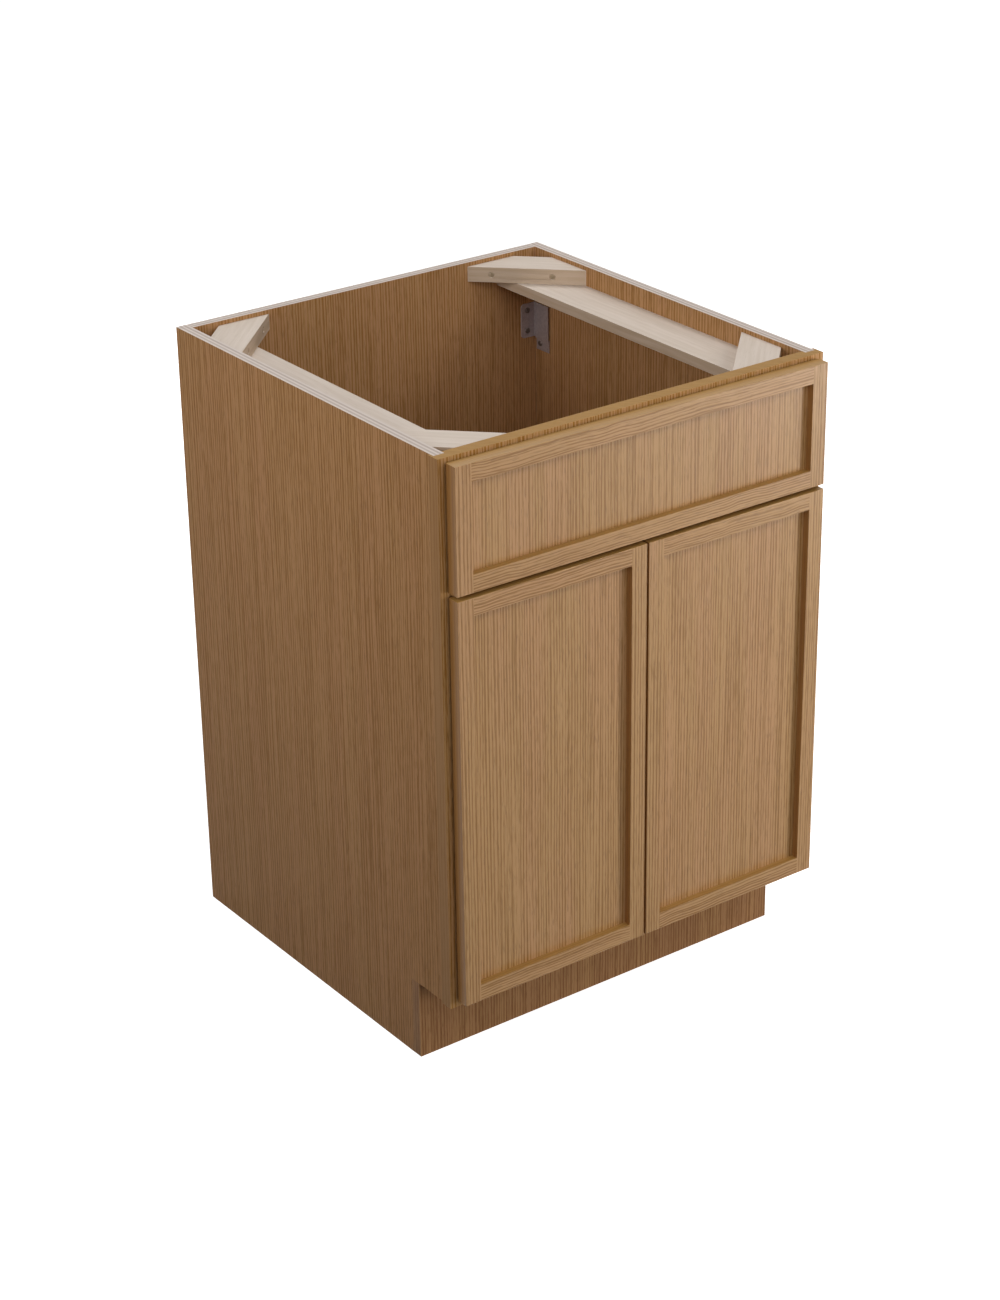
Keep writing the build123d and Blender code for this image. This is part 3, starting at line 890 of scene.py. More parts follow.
def solids_of(node: str) -> list[Array]:
    """Splits a CAD node's points into its separate solids.

    Points at one place are one point. Every point takes the lowest label among its neighbours, until no
    label changes, and each label left is one solid.

    Args:
        node: the node's name.

    Returns:
        The points of each solid.
    """
    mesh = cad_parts[node].data
    points, corners = np.empty(len(mesh.vertices) * 3), np.empty(len(mesh.edges) * 2, dtype=int)
    mesh.vertices.foreach_get("co", points)
    mesh.edges.foreach_get("vertices", corners)
    points, merged = np.unique(points.reshape(-1, 3).round(6), axis=0, return_inverse=True)
    ends = merged.ravel()[corners].reshape(-1, 2)
    labels = np.arange(len(points))
    while True:
        spread = labels.copy()
        for column in (0, 1):
            np.minimum.at(spread, ends[:, column], labels[ends].min(axis=1))
        if np.array_equal(spread, labels):
            return [points[labels == label] for label in np.unique(labels)]
        labels = spread


def stand(name: str, data: bpy.types.ID) -> bpy.types.Object:
    """Stands a new object in the scene.

    Args:
        name: the object's name.
        data: its mesh, lamp or camera.

    Returns:
        The object.
    """
    made = bpy.data.objects.new(name, data)
    bpy.context.scene.collection.objects.link(made)
    return made


CREASE = math.radians(40.0)


class Piece:
    """A new object that is gathered from closed surfaces and stands for one CAD node."""

    def __init__(self, node: str, body: str, slot: str) -> None:
        """Starts an empty piece that will replace the node.

        Args:
            node: the CAD node that it stands for.
            body: the body that it moves with.
            slot: the record's material slot; not used.
        """
        self.node, self.body, self.slot = node, body, slot
        self.points: list[Array] = []
        self.faces: list[Array] = []
        self.count = 0

    def add(self, rings: Array, closed_along: bool = False) -> None:
        """Adds a closed surface.

        Neighbouring points of neighbouring rings make a face of four points. The first and last rings are
        closed by a point at their middle, or join each other. A surface that would enclose a negative
        volume is turned inside out.

        Args:
            rings: rings by points by coordinates.
            closed_along: whether the last ring joins the first.
        """
        count, around = rings.shape[:2]
        own = rings.reshape(-1, 3)
        number = np.arange(count * around).reshape(count, around)
        lower = number if closed_along else number[:-1]
        upper = np.roll(number, -1, axis=0) if closed_along else number[1:]
        quads = np.stack((lower, np.roll(lower, -1, axis=1), np.roll(upper, -1, axis=1), upper), axis=-1)
        quads = quads.reshape(-1, 4)
        if not closed_along:
            own = np.concatenate((own, rings[0].mean(axis=0)[None], rings[-1].mean(axis=0)[None]))
            first, last = np.full(around, count * around), np.full(around, count * around + 1)
            caps = (
                np.stack((np.roll(number[0], -1), number[0], first, first), axis=-1),
                np.stack((number[-1], np.roll(number[-1], -1), last, last), axis=-1),
            )
            quads = np.concatenate((quads, *caps))
        one, two, three, four = (own[quads[:, corner]] for corner in range(4))
        volume = np.einsum("ij,ij->", one, np.cross(two, three) + np.cross(three, four))
        self.points.append(own)
        self.faces.append((quads if volume > 0.0 else quads[:, ::-1]) + self.count)
        self.count += len(own)

    def finish(self, material: bpy.types.Material) -> None:
        """Makes the object, lays its material on and puts it in the node's place.

        Args:
            material: its finish.
        """
        quads = np.concatenate(self.faces)
        pinched = (quads == np.roll(quads, -1, axis=1)).any(axis=1)
        triangles = [tuple(dict.fromkeys(face)) for face in quads[pinched].tolist()]
        mesh = bpy.data.meshes.new(f"{self.node}_detail")
        mesh.from_pydata(np.concatenate(self.points).tolist(), [], quads[~pinched].tolist() + triangles)
        mesh.shade_smooth()
        mesh.set_sharp_from_angle(angle=CREASE)
        mesh.materials.append(material)
        piece = stand(mesh.name, mesh)
        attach(piece, self.body)
        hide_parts(self.node)
        log.info("%s: %d faces", piece.name, len(quads))


def remake(node: str, body: str, slot: str, finish: Finish, shape: Callable[[Array], Array]) -> None:
    """Replaces a CAD node by finer surfaces, one for each of its solids.

    Args:
        node: the CAD node.
        body: the body that they move with.
        slot: their material slot.
        finish: their finish.
        shape: works out a surface's rings from the points of its solid.
    """
    piece = Piece(node, body, slot)
    for points in solids_of(node):
        piece.add(shape(points))
    piece.finish(finish.dress(Board.of(node)))


# Points of a screw that are further from its axis than this share of its radius are its head's.
HEAD_FROM = 0.95


@dataclass(frozen=True)
class Screw:
    """A cross-recessed, pan-headed screw, with its place and sizes read from its CAD solid.

    The recess, the dome and the head's edge are shares of the head's radius or height, the thread's core and
    the point are shares of the shank's radius, and the run-in is a share of the length.
    """

    top: Array
    way: Array
    head_radius: float
    head_height: float
    shank_radius: float
    length: float
    turns_per_metre: float
    core_share: float = 0.72
    recess_half_width: float = 0.13
    recess_half_length: float = 0.62
    recess_depth: float = 0.75
    recess_draft: tuple[float, ...] = (0.5, 0.9)
    dome_radius: float = 0.96
    dome_drop: float = 0.45
    dome_rings: int = 6
    edge_radii: tuple[float, ...] = (1.0, 1.0, 0.97)
    edge_depths: tuple[float, ...] = (0.55, 0.93, 1.0)
    run_in: float = 0.25
    point_length: float = 2.4
    tip: float = 0.04
    rings_per_turn: int = 5
    fewest_rings: int = 12
    around: int = 32

    @classmethod
    def of(cls, points: Array, turns_per_metre: float) -> "Screw":
        """Reads a level screw from its solid's points.

        Its way is the one, of the four that screws here take, across which the solid is as wide as it is
        high. The head's points are those farthest from the axis.

        Args:
            points: the solid's points.
            turns_per_metre: turns of its thread in a metre.

        Returns:
            The screw.
        """
        radius = np.ptp(points[:, 2]) / 2
        slant = math.sqrt(0.5)
        ways = np.array((RIGHT, BACK, (slant, slant, 0.0), (slant, -slant, 0.0)))
        sides = np.cross(ways, UP)
        chosen = np.abs(np.ptp(points @ sides.T, axis=0) - 2 * radius).argmin()
        way, side = ways[chosen], sides[chosen]
        middle = [(line.min() + line.max()) / 2 for line in (points @ side, points[:, 2])]
        off_axis = np.hypot(points @ side - middle[0], points[:, 2] - middle[1])
        headed = off_axis > HEAD_FROM * radius
        if (points[headed] @ way).mean() > ((points @ way).min() + (points @ way).max()) / 2:
            way = -way
        along = points @ way
        shank = off_axis[along > along.max() - SAME_PLACE].max()
        top = way * along.min() + side * middle[0] + np.array((0.0, 0.0, middle[1]))
        return cls(top, way, radius, np.ptp(along[headed]), shank, np.ptp(along), turns_per_metre)

    def head(self, angles: Array) -> tuple[Array, Array]:
        """Works out the head.

        The recess is a cross: its edge in each direction is at the smaller of the arm's length over the
        larger share, and the arm's half width over the smaller share, of the direction's cosine and sine. The
        head is a dome that falls with the square of the radius.

        Args:
            angles: the angle of each point of a ring.

        Returns:
            The radii and depths of its points.
        """
        radius, height = self.head_radius, self.head_height
        shares = np.abs(np.stack((np.cos(angles), np.sin(angles))))
        cross = radius * np.minimum(self.recess_half_length / shares.max(axis=0),
                                    self.recess_half_width / np.maximum(shares.min(axis=0), 0.01))
        recess = cross * np.reshape(self.recess_draft, (-1, 1))
        dome = cross + (radius * self.dome_radius - cross) * np.linspace(0.0, 1.0, self.dome_rings)[:, None]
        edge = even_rings(radius * np.array(self.edge_radii), len(angles))
        return np.concatenate((recess, dome, edge)), np.concatenate((
            np.full_like(recess, self.recess_depth * height),
            self.dome_drop * height * (dome / radius) ** 2,
            even_rings(height * np.array(self.edge_depths), len(angles)),
        ))

    def rings(self) -> Array:
        """Works the screw out: its head, and a shank with a thread and a point.

        The thread's radius rises with the cosine of the depth in turns less the angle. It runs in over the
        shank's first part, and the radius falls evenly over the point.

        Returns:
            The rings.
        """
        angles = np.linspace(0.0, math.tau, self.around, endpoint=False)
        radii, depths = self.head(angles)
        height, length = self.head_height, self.length
        thread_rings = int((length - height) * self.turns_per_metre * self.rings_per_turn)
        depth = np.linspace(height, length, max(self.fewest_rings, thread_rings))
        wave = np.cos(math.tau * depth[:, None] * self.turns_per_metre - angles) * 0.5 + 0.5
        begun = np.clip((depth - height) / (self.run_in * length), 0.0, 1.0)[:, None]
        point = np.clip((length - depth) / (self.point_length * self.shank_radius), self.tip, 1.0)[:, None]
        shank = self.shank_radius * (1.0 - (1.0 - self.core_share) * (1.0 - wave ** 2) * begun) * point
        radii = np.concatenate((radii, shank))
        depths = np.concatenate((depths, even_rings(depth, self.around)))
        return placed(lathe(radii, depths, self.around), self.top, np.cross(self.way, UP), UP, self.way)


def screw_set(node: str, body: str, finish: Steel, turns_per_metre: float) -> None:
    """Replaces a CAD node of screws by threaded ones."""
    remake(node, body, "screw_steel", finish, lambda points: Screw.of(points, turns_per_metre).rings())


# ---- Sub-assemblies ----


@dataclass
class PlywoodBox:
    """Sides, back, bottom and toe-kick board."""

    rounding: float = 0.35 * MM
    seed: float = 11.0
    toe_seed: float = 17.0
    sheets: tuple[tuple[str, Grain, Axis], ...] = (
        ("side_panel_left", Grain.UP, Axis.X),
        ("side_panel_right", Grain.UP, Axis.X),
        ("back_panel", Grain.UP, Axis.Y),
        ("bottom_panel", Grain.DEEP, Axis.Z),
    )

    def build(self) -> None:
        """Dresses the box."""
        for index, (node, grain, sheet) in enumerate(self.sheets):
            dress_board(PLY, Board.of(node, grain, self.seed + index, sheet), self.rounding)
        dress_board(TOE_OAK, Board.of("toe_kick_board", Grain.UP, self.toe_seed), self.rounding)


@dataclass
class FaceFrame:
    """Stiles and rails of the face frame."""

    rounding: float = 0.3 * MM
    seed: float = 23.0
    members: tuple[tuple[str, Grain, Finish], ...] = (
        ("frame_stile_left", Grain.UP, PALE_FRAME_OAK),
        ("frame_stile_right", Grain.UP, PALE_FRAME_OAK),
        ("frame_top_rail", Grain.UP, PALE_FRAME_OAK),
        # The middle and bottom rails take the darker oak: painted shade in the gaps behind the fronts.
        ("frame_middle_rail", Grain.ACROSS, GAP_SHADED_FRAME_OAK),
        ("frame_bottom_rail", Grain.ACROSS, GAP_SHADED_FRAME_OAK),
    )

    def build(self) -> None:
        """Dresses the frame."""
        for index, (node, grain, finish) in enumerate(self.members):
            dress_board(finish, Board.of(node, grain, self.seed + index), self.rounding)


@dataclass
class Bracing:
    """Side rails and corner blocks under the rim, with the blocks' screws."""

    rounding: float = 0.5 * MM
    seed: float = 31.0
    screw_turns: float = 420.0
    boards: tuple[tuple[str, Grain], ...] = (
        ("side_rail_left", Grain.DEEP),
        ("side_rail_right", Grain.DEEP),
        ("corner_block_back_left", Grain.RISING_RIGHT),
        ("corner_block_back_right", Grain.FALLING_RIGHT),
        ("corner_block_front_left", Grain.FALLING_RIGHT),
        ("corner_block_front_right", Grain.RISING_RIGHT),
    )

    def build(self) -> None:
        """Dresses the bracing."""
        for index, (node, grain) in enumerate(self.boards):
            dress_board(PALE, Board.of(node, grain, self.seed + index), self.rounding)
        screw_set("corner_block_screws", CABINET, YELLOW_SCREWS, self.screw_turns)


@dataclass
class Brackets:
    """The four steel brackets in the back corners and their screws."""

    rounding: float = 0.3 * MM
    screw_turns: float = 560.0

    def build(self) -> None:
        """Dresses the brackets."""
        for level in ("upper", "lower"):
            for side in SIDES:
                dress_board(BRACKET_STEEL, Board.of(f"{level}_bracket_{side}"), self.rounding)
        screw_set("bracket_screws", CABINET, BRACKET_SCREWS, self.screw_turns)


@dataclass
class Front:
    """One framed front, a door or the false drawer front: two stiles, two rails and a panel.

    Its nodes are named by its name, the member and, on a door, the side. The stile at its right has paler
    edges than the one at its left: painted light on its flank, which lies in the shade of the panel's recess.
    """

    name: str
    stiles: tuple[str, str]
    right_stile: str
    seed: float
    ending: str = ""
    rounding: float = 0.3 * MM
    panel_seed: float = 7.0

    def node(self, member: str) -> str:
        """Gives the name of a member's node."""
        return f"{self.name}_{member}{self.ending}"

    def build(self) -> None:
        """Dresses the front's stiles, rails and panel."""
        for index, stile in enumerate(self.stiles):
            # The right stile's paler flanks are painted light against the shade of the recess.
            finish = PAINTED_LIGHT_FLANK_OAK if stile == self.right_stile else FRONT_OAK
            dress_board(finish, Board.of(self.node(stile), Grain.UP, self.seed + index), self.rounding)
        for index, rail in enumerate(("top_rail", "bottom_rail"), start=len(self.stiles)):
            dress_board(RAIL_OAK, Board.of(self.node(rail), Grain.ACROSS, self.seed + index), self.rounding)
        panel = Board.of(self.node("panel"), Grain.UP, self.seed + self.panel_seed)
        coat(panel.name, FRONT_OAK.dress(panel))


@dataclass
class Hinges:
    """The two concealed hinges of one door, with their screws.

    Sizes of the CAD solids are read from them. They are built for the right-hand door and turned over for
    the left one.
    """

    side: str
    cup_radius: float = 17.5 * MM
    cup_wall: float = 0.6 * MM
    cup_fillet: float = 1.5 * MM
    cup_chamfer: float = 0.4 * MM
    mouth_round: float = 0.4 * MM
    hub_radius: float = 2.0 * MM
    floor_share: float = 0.8
    # The flange's border, from its upper face down: how far in from the edge, and the share of its thickness.
    flange_border: tuple[Band, ...] = (
        (0.3 * MM, 1.0), (0.08 * MM, 0.92), (0.0, 0.7), (0.0, 0.1), (0.1 * MM, 0.0),
    )
    flange_thickness: float = 0.8 * MM
    ear_half_width: float = 6.0 * MM
    blend_power: float = 16.0
    lug_thickness: float = 2.0 * MM
    lug_gap: float = 3.25 * MM
    lug_margin: float = 1.8 * MM
    lug_round: float = 0.3 * MM
    barrel_radius: float = 1.7 * MM
    barrel_bore: float = 0.95 * MM
    barrel_half_length: float = 3.0 * MM
    barrel_chamfer: float = 0.2 * MM
    metal: float = 1.4 * MM
    strap_half_width: float = 6.0 * MM
    strap_corner: float = 0.3 * MM
    strap_start: float = 1.3 * MM
    strap_overlap: float = 1.5 * MM
    strap_under: float = 0.02 * MM
    neck_half_width: float = 3.0 * MM
    neck_length: float = 8.0 * MM
    neck_lead: float = 1.0 * MM
    neck_taper: float = 2.5 * MM
    bend_radius: float = 2.6 * MM
    plate_depth: float = 16.0 * MM
    plate_corner: float = 2.5 * MM
    plate_round: float = 0.25 * MM
    pin_round: float = 0.15 * MM
    cup_screw_turns: float = 900.0
    arm_screw_turns: float = 800.0
    around: int = 160
    fillet_points: int = 6
    lug_points: int = 13
    run_points: int = 28
    bend_points: int = 9
    rise_points: int = 6

    @property
    def mirror(self) -> Array:
        """What each coordinate is multiplied by to turn the right-hand hinge into this one."""
        return np.array((-1.0 if self.side == "left" else 1.0, 1.0, 1.0))

    def solids(self, node: str) -> list[Array]:
        """Gives the points of each solid of a node of this side, turned to the right-hand side."""
        return [points * self.mirror for points in solids_of(f"{node}_{self.side}")]

    def flange_edge(self, rim: float, reach: float) -> Array:
        """Works out how far the flange reaches from the cup's middle in each direction.

        The outline joins a disc and a bar with round ends: it is the power mean of the two, which fillets
        the corners between them. The bar's edge is its half width over the sine of the angle to its length,
        and past its ends' centres the far side of the end's circle.

        Args:
            rim: radius of the disc.
            reach: from the middle to the ear's end.

        Returns:
            The radius for each angle of a ring.
        """
        angles = np.linspace(0.0, math.tau, self.around, endpoint=False)
        lengthwise, crosswise = np.abs(np.sin(angles)), np.maximum(np.abs(np.cos(angles)), 1e-6)
        half, centre = self.ear_half_width, reach - self.ear_half_width
        end = centre * lengthwise + np.sqrt(np.maximum(half ** 2 - (centre * crosswise) ** 2, 0.0))
        bar = np.where(half * lengthwise / crosswise <= centre, half / crosswise, end)
        joined = ((bar / rim) ** self.blend_power + 1.0) ** (1.0 / self.blend_power) * rim
        return np.minimum(joined, reach)

    def cup(self, points: Array) -> Array:
        """Works out a cup with its flange as one shell, from the inside of its floor round to the outside.

        Args:
            points: the points of the cup's CAD solid, turned to the right-hand side.

        Returns:
            The rings.
        """
        low, high, middle = box_of(points)
        thick, outer, inner = self.flange_thickness, self.cup_radius, self.cup_radius - self.cup_wall
        depth = high[1] - low[1] - thick
        floor, fillet, lip = self.cup_wall - depth, self.cup_fillet, self.mouth_round
        turn = np.linspace(0.0, math.pi / 2, self.fillet_points)
        insets, levels = np.array(self.flange_border).T
        border = self.flange_edge((high[0] - low[0]) / 2, (high[2] - low[2]) / 2) - insets[:, None]
        inside = np.concatenate((
            (self.hub_radius, self.floor_share * inner),
            inner - fillet + fillet * np.sin(turn),
            inner + lip - lip * np.cos(turn),
        ))
        radii = np.concatenate((
            even_rings(inside, self.around),
            outer + (border[0] - outer) * np.array(((0.0,), (0.5,))),
            border,
            even_rings((outer, outer, outer - self.cup_chamfer, self.hub_radius), self.around),
        ))
        heights = np.concatenate((
            (floor, floor),
            floor + fillet - fillet * np.cos(turn),
            thick - lip + lip * np.sin(turn),
            (thick, thick),
            thick * levels,
            (0.0, self.cup_chamfer - depth, -depth, -depth),
        ))
        mouth = (middle[0], high[1] - thick, middle[2])
        return placed(lathe(radii, heights, self.around), mouth, RIGHT, DOWN, BACK)

    def lug(self, pin: Array, drop: float, low: float) -> Array:
        """Works out one of the cup's two lugs: a plate that is round over the pin.

        Args:
            pin: the pin's middle.
            drop: from the pin to the cup's floor.
            low: the lug's lower face, from the pin's middle.

        Returns:
            The rings.
        """
        turn = np.linspace(0.0, math.pi, self.lug_points)
        margin = self.lug_margin
        head = margin * np.stack((np.cos(turn), np.sin(turn)), axis=-1)
        outline = np.concatenate((head, ((-margin, -drop), (margin, -drop))))
        return placed(slab(outline, low, low + self.lug_thickness, self.lug_round), pin, RIGHT, BACK, UP)

    def barrel(self, pin: Array) -> Array:
        """Works out the barrel that turns on the pin: a tube with chamfered ends.

        Args:
            pin: the pin's middle.

        Returns:
            The rings.
        """
        radius, bore, half = self.barrel_radius, self.barrel_bore, self.barrel_half_length
        ease = self.barrel_chamfer
        radii = (radius, radius, radius - ease, bore + ease, bore, bore, bore + ease, radius - ease)
        heights = (ease - half, half - ease, half, half, half - ease, ease - half, -half, -half)
        return lathe(np.array(radii), np.array(heights)) + pin

    def band(self, pin: Array, line_x: float, plate_y: float) -> Array:
        """Works out the bent strap from the barrel to the plate.

        Its path is straight from the barrel, a quarter circle and straight again. Its width grows from the
        neck's to its own by a smooth step.

        Args:
            pin: the pin's middle.
            line_x: the plate's middle line.
            plate_y: where the plate begins.

        Returns:
            The rings.
        """
        bend = self.bend_radius
        turn = np.linspace(0.0, math.pi / 2, self.bend_points)
        run = np.linspace(pin[0] - self.strap_start, line_x + bend, self.run_points)
        straight = np.stack((run, np.full_like(run, pin[1])), axis=-1)
        centre = np.array((line_x + bend, pin[1] + bend))
        curve = centre - bend * np.stack((np.sin(turn), np.cos(turn)), axis=-1)
        rise = np.linspace(pin[1] + bend, plate_y + self.strap_overlap, self.rise_points)
        upright = np.stack((np.full_like(rise, line_x), rise), axis=-1)
        path = np.concatenate((straight, curve[1:], upright[1:]))
        past_neck = pin[0] - self.neck_length + self.neck_lead - path[:, 0]
        grown = np.clip(past_neck / self.neck_taper, 0.0, 1.0)
        grown = grown * grown * (3.0 - 2.0 * grown)
        half_widths = self.neck_half_width + (self.strap_half_width - self.neck_half_width) * grown
        band = strap(path, half_widths, self.metal / 2 - self.strap_under, self.strap_corner)
        return band + (0.0, 0.0, pin[2])

    def plate(self, low: Array, high: Array, height: float) -> Array:
        """Works out the plate on the frame's edge, a rounded rectangle.

        Args:
            low, high: the corners of the arm's box.
            height: the arm's middle height.

        Returns:
            The rings.
        """
        signs, arcs = round_corners(self.plate_corner)
        reach = np.array((self.plate_depth / 2, (high[2] - low[2]) / 2)) - self.plate_corner
        rings = slab(signs * reach + arcs, low[0], low[0] + self.metal, self.plate_round)
        return placed(rings, (0.0, high[1] - self.plate_depth / 2, height), BACK, UP, RIGHT)

    def build_cups(self, finish: bpy.types.Material) -> None:
        """Builds the cups, each with the lugs that hold its pin.

        Args:
            finish: their material.
        """
        piece = Piece(f"hinge_cups_{self.side}", f"door_{self.side}", "hinge_steel")
        pins = [box_of(points)[2] for points in self.solids("hinge_pins")]
        for points in self.solids("hinge_cups"):
            low, _, middle = box_of(points)
            pin = min(pins, key=lambda place: abs(place[2] - middle[2]))
            drop = pin[1] - low[1] - self.cup_wall / 2
            piece.add(self.cup(points) * self.mirror)
            for face in (-self.lug_gap - self.lug_thickness, self.lug_gap):
                piece.add(self.lug(pin, drop, face) * self.mirror)
        piece.finish(finish)

    def build_arms(self, finish: bpy.types.Material) -> None:
        """Builds the arms: the barrel on the pin, the bent strap and the plate on the frame's edge.

        Args:
            finish: their material.
        """
        piece = Piece(f"hinge_arms_{self.side}", CABINET, "hinge_steel")
        for points in self.solids("hinge_arms"):
            low, high, middle = box_of(points)
            pin = np.array((high[0] - self.barrel_radius, low[1] + self.barrel_radius, middle[2]))
            piece.add(self.barrel(pin) * self.mirror, closed_along=True)
            piece.add(self.band(pin, low[0] + self.metal / 2, high[1] - self.plate_depth) * self.mirror)
            piece.add(self.plate(low, high, middle[2]) * self.mirror)
        piece.finish(finish)

    def build(self) -> None:
        """Builds both hinges of the door."""
        finish = HINGE_STEEL.dress(Board.of(f"hinge_cups_{self.side}"))
        self.build_cups(finish)
        self.build_arms(finish)
        soften(coat(f"hinge_pins_{self.side}", finish), self.pin_round)
        screw_set(f"hinge_cup_screws_{self.side}", f"door_{self.side}", HINGE_STEEL, self.cup_screw_turns)
        screw_set(f"hinge_arm_screws_{self.side}", CABINET, HINGE_STEEL, self.arm_screw_turns)


@dataclass
class Pads:
    """The soft pads behind the fronts, and the false front's screws.

    Radii and heights are shares of a pad's own.
    """

    foot_radius: float = 0.985
    foot_height: float = 0.2
    foot_hub: float = 0.5
    top_hub: float = 0.12
    radius_power: float = 0.55
    height_power: float = 0.8
    screw_turns: float = 560.0
    dome_points: int = 10

    def dome(self, points: Array) -> Array:
        """Works out a pad on the front's back: a low foot under a dome.

        The dome's radius and height follow a quarter of a superellipse.

        Args:
            points: the points of the pad's CAD solid.

        Returns:
            The rings.
        """
        low, high, middle = box_of(points)
        turn = np.linspace(0.0, math.pi / 2, self.dome_points)[:-1]
        drawn_in = np.cos(turn) ** self.radius_power
        risen = self.foot_height + (1.0 - self.foot_height) * np.sin(turn) ** self.height_power
        radii = np.concatenate(((self.foot_hub, self.foot_radius), drawn_in, (self.top_hub,)))
        heights = np.concatenate(((0.0, 0.0), risen, (1.0,)))
        rings = lathe(radii * (high[0] - low[0]) / 2, heights * (high[1] - low[1]))
        return placed(rings, (middle[0], low[1], middle[2]), RIGHT, DOWN, BACK)

    def build(self) -> None:
        """Builds the pads and the screws."""
        for side in SIDES:
            remake(f"door_bumpers_{side}", f"door_{side}", "soft_pad", SOFT_PAD, self.dome)
        remake("false_front_bumpers", CABINET, "soft_pad", SOFT_PAD, self.dome)
        screw_set("false_front_screws", CABINET, YELLOW_SCREWS, self.screw_turns)


# ---- Studio ----


def way_from_middle(azimuth: float, elevation: float) -> Vector:
    """Gives a direction from the cabinet: azimuth 0 is straight in front of it, and 90 is at its right."""
    turn, lift = math.radians(azimuth), math.radians(elevation)
    return Vector((math.sin(turn) * math.cos(lift), -math.cos(turn) * math.cos(lift), math.sin(lift)))


@dataclass(frozen=True)
class SoftBox:
    """A square, soft lamp panel that hangs round the cabinet's middle and faces it."""

    name: str
    azimuth: float
    elevation: float
    power: float
    side: float = 1.2
    reach: float = 2.8
    middle: Point = (0.0, 0.0, 0.5)

    def build(self) -> None:
        """Hangs the lamp: it lights the object but isn't seen by the camera."""
        lamp = bpy.data.lights.new(self.name, "AREA")
        lamp.shape = "SQUARE"
        lamp.size = self.side
        lamp.energy = self.power
        panel = stand(self.name, lamp)
        away = way_from_middle(self.azimuth, self.elevation)
        panel.location = Vector(self.middle) + away * self.reach
        panel.rotation_euler = away.to_track_quat("Z", "Y").to_euler()
        panel.visible_camera = False


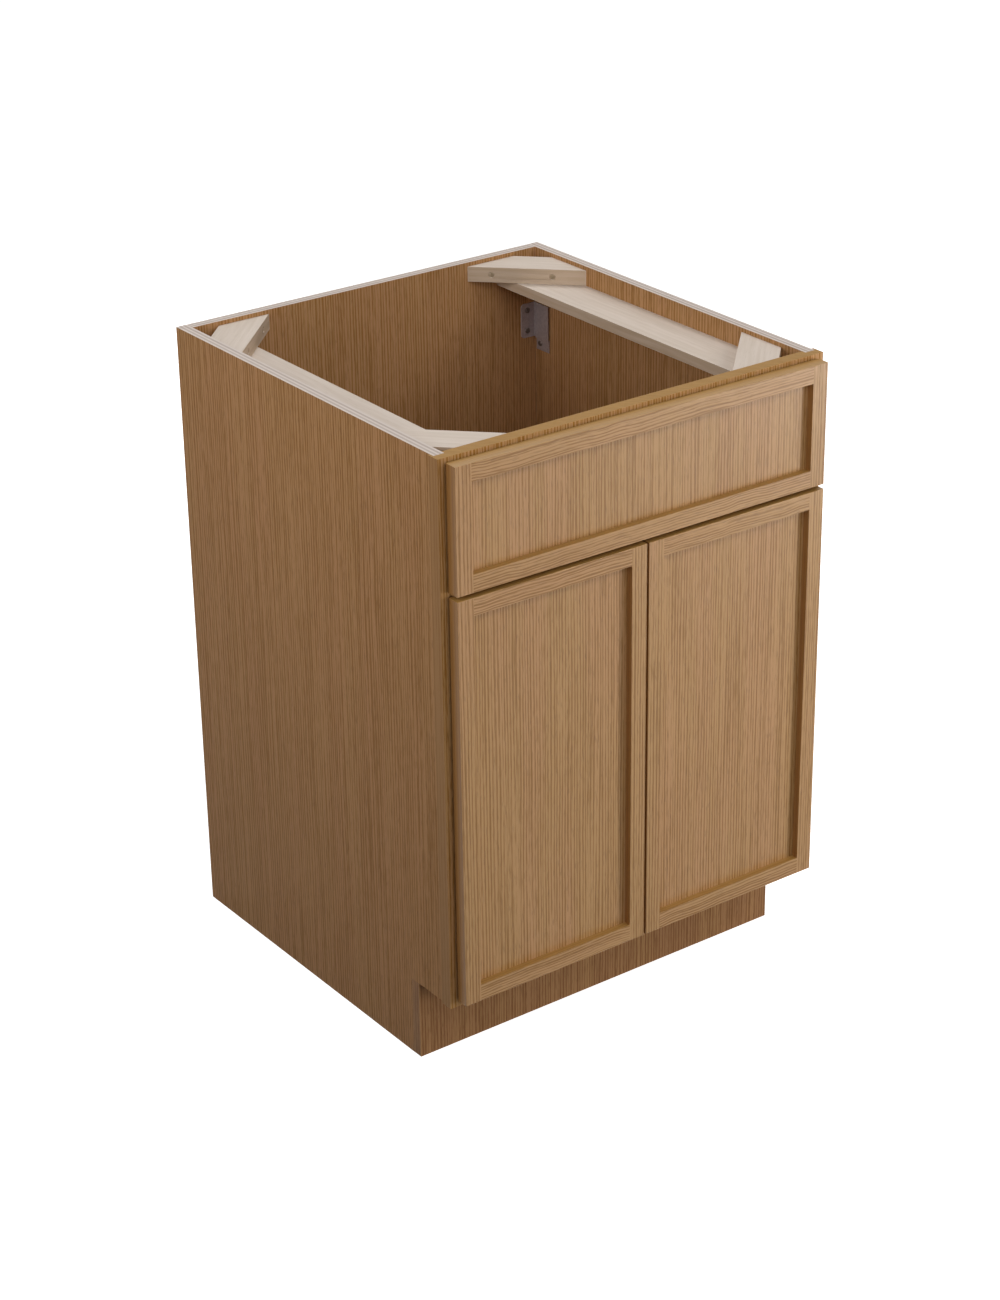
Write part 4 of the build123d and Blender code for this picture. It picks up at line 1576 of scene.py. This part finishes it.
@dataclass(frozen=True)
class Studio:
    """White surroundings, a pale floor and the lamps."""

    ambient: float = 0.06
    bounce: float = 0.12
    floor_white: float = 0.86
    floor_lift: float = 0.84
    floor_clear: float = 1.6
    floor_half: float = 14.0
    boxes: tuple[SoftBox, ...] = (
        SoftBox("key_low_right", 45.0, 0.0, 34.0, 0.8),
        SoftBox("low_front", 5.0, 10.0, 7.0),
        SoftBox("front_right", 45.0, 40.0, 13.5),
        SoftBox("front", -5.0, 38.0, 19.5, 1.7),
        SoftBox("front_left", -45.0, 38.0, 7.0),
        SoftBox("left", -95.0, 13.0, 12.4, 0.9, 1.7, (0.0, 0.0, 1.0)),
        SoftBox("high_behind", 150.0, 62.0, 28.5),
        SoftBox("behind", 170.0, 8.0, 16.0),
    )

    def build(self) -> None:
        """Sets the surroundings, the floor and the lamps."""
        self.surround()
        self.floor()
        for box in self.boxes:
            box.build()

    def seen_directly(self, graph: Graph) -> Socket:
        """Finds the rays that show the background itself: camera, glossy and transmission rays.

        Args:
            graph: the graph to add to.

        Returns:
            1 for those rays and 0 for the others.
        """
        path = graph.node("ShaderNodeLightPath").outputs
        mirrored = graph.math("MAXIMUM", path["Is Camera Ray"], path["Is Glossy Ray"])
        return graph.math("MAXIMUM", mirrored, path["Is Transmission Ray"])

    def surround(self) -> None:
        """Makes the world: white to look at, and an even, softer light on the object."""
        world = bpy.data.worlds.new("studio")
        bpy.context.scene.world = world
        graph = Graph(world)
        strength = graph.ramp(self.seen_directly(graph), 0.0, 1.0, self.ambient, 1.0)
        graph.node("ShaderNodeOutputWorld", graph.node("ShaderNodeBackground", WHITE, strength).outputs[0])

    def floor(self) -> None:
        """Lays the floor: it looks white, keeps the shadow and throws little light back up."""
        graph = Graph(bpy.data.materials.new("floor"))
        seen = self.seen_directly(graph)
        matt = graph.node("ShaderNodeBsdfDiffuse", graph.ramp(seen, 0.0, 1.0, self.bounce, self.floor_white))
        away = graph.node("ShaderNodeVectorMath", graph.coordinates["Object"], operation="LENGTH")
        clear = self.floor_clear
        lift = graph.ramp(away.outputs["Value"], clear * 0.5, clear, self.floor_lift, 1.0)
        glow = graph.node("ShaderNodeEmission", WHITE, graph.math("MULTIPLY", lift, seen))
        both = graph.node("ShaderNodeAddShader", matt.outputs[0], glow.outputs[0])
        graph.node("ShaderNodeOutputMaterial", both.outputs[0])
        mesh = bpy.data.meshes.new("floor")
        half = self.floor_half
        mesh.from_pydata([(-half, -half, 0.0), (half, -half, 0.0), (half, half, 0.0), (-half, half, 0.0)],
                         [], [(0, 1, 2, 3)])
        mesh.materials.append(graph.owner)
        stand("floor", mesh)


@dataclass(frozen=True)
class Viewpoint:
    """The photograph's viewpoint, found from the cabinet's own corners."""

    place: Point = (-2.10928, -2.90251, 2.12883)
    azimuth: float = -35.952
    elevation: float = 25.347
    roll: float = -0.843
    lens: float = 79.89
    sensor: float = 36.0

    def build(self) -> None:
        """Sets the camera up.

        The backward axis comes from the azimuth and elevation, the right axis is level, and both side axes
        then turn by the roll.
        """
        back, lean = way_from_middle(self.azimuth, self.elevation), math.radians(self.roll)
        right = Vector(UP).cross(back).normalized()
        upward = back.cross(right)
        leaned_right = right * math.cos(lean) + upward * math.sin(lean)
        leaned_up = upward * math.cos(lean) - right * math.sin(lean)
        lens = bpy.data.cameras.new("camera")
        lens.sensor_fit = "AUTO"
        lens.sensor_width = self.sensor
        lens.lens = self.lens
        camera = stand("camera", lens)
        axes = Matrix((leaned_right, leaned_up, back)).transposed().to_4x4()
        camera.matrix_world = Matrix.Translation(Vector(self.place)) @ axes
        bpy.context.scene.camera = camera


def main() -> None:
    """Builds the cabinet's looks in order, then the studio and the camera."""
    logging.basicConfig(level=logging.INFO, format="%(name)s: %(message)s")
    bpy.context.scene.view_settings.view_transform = "Standard"
    door_stiles = ("hinge_stile", "meeting_stile")
    assemblies = (
        PlywoodBox(), FaceFrame(), Bracing(), Brackets(),
        Front("false_front", ("stile_left", "stile_right"), "stile_right", seed=41.0),
        Front("door", door_stiles, "meeting_stile", seed=53.0, ending="_left"),
        Front("door", door_stiles, "hinge_stile", seed=67.0, ending="_right"),
        Hinges("left"), Hinges("right"), Pads(),
    )
    for assembly in assemblies:
        assembly.build()
    Studio().build()
    Viewpoint().build()


if __name__ == "__main__":
    main()
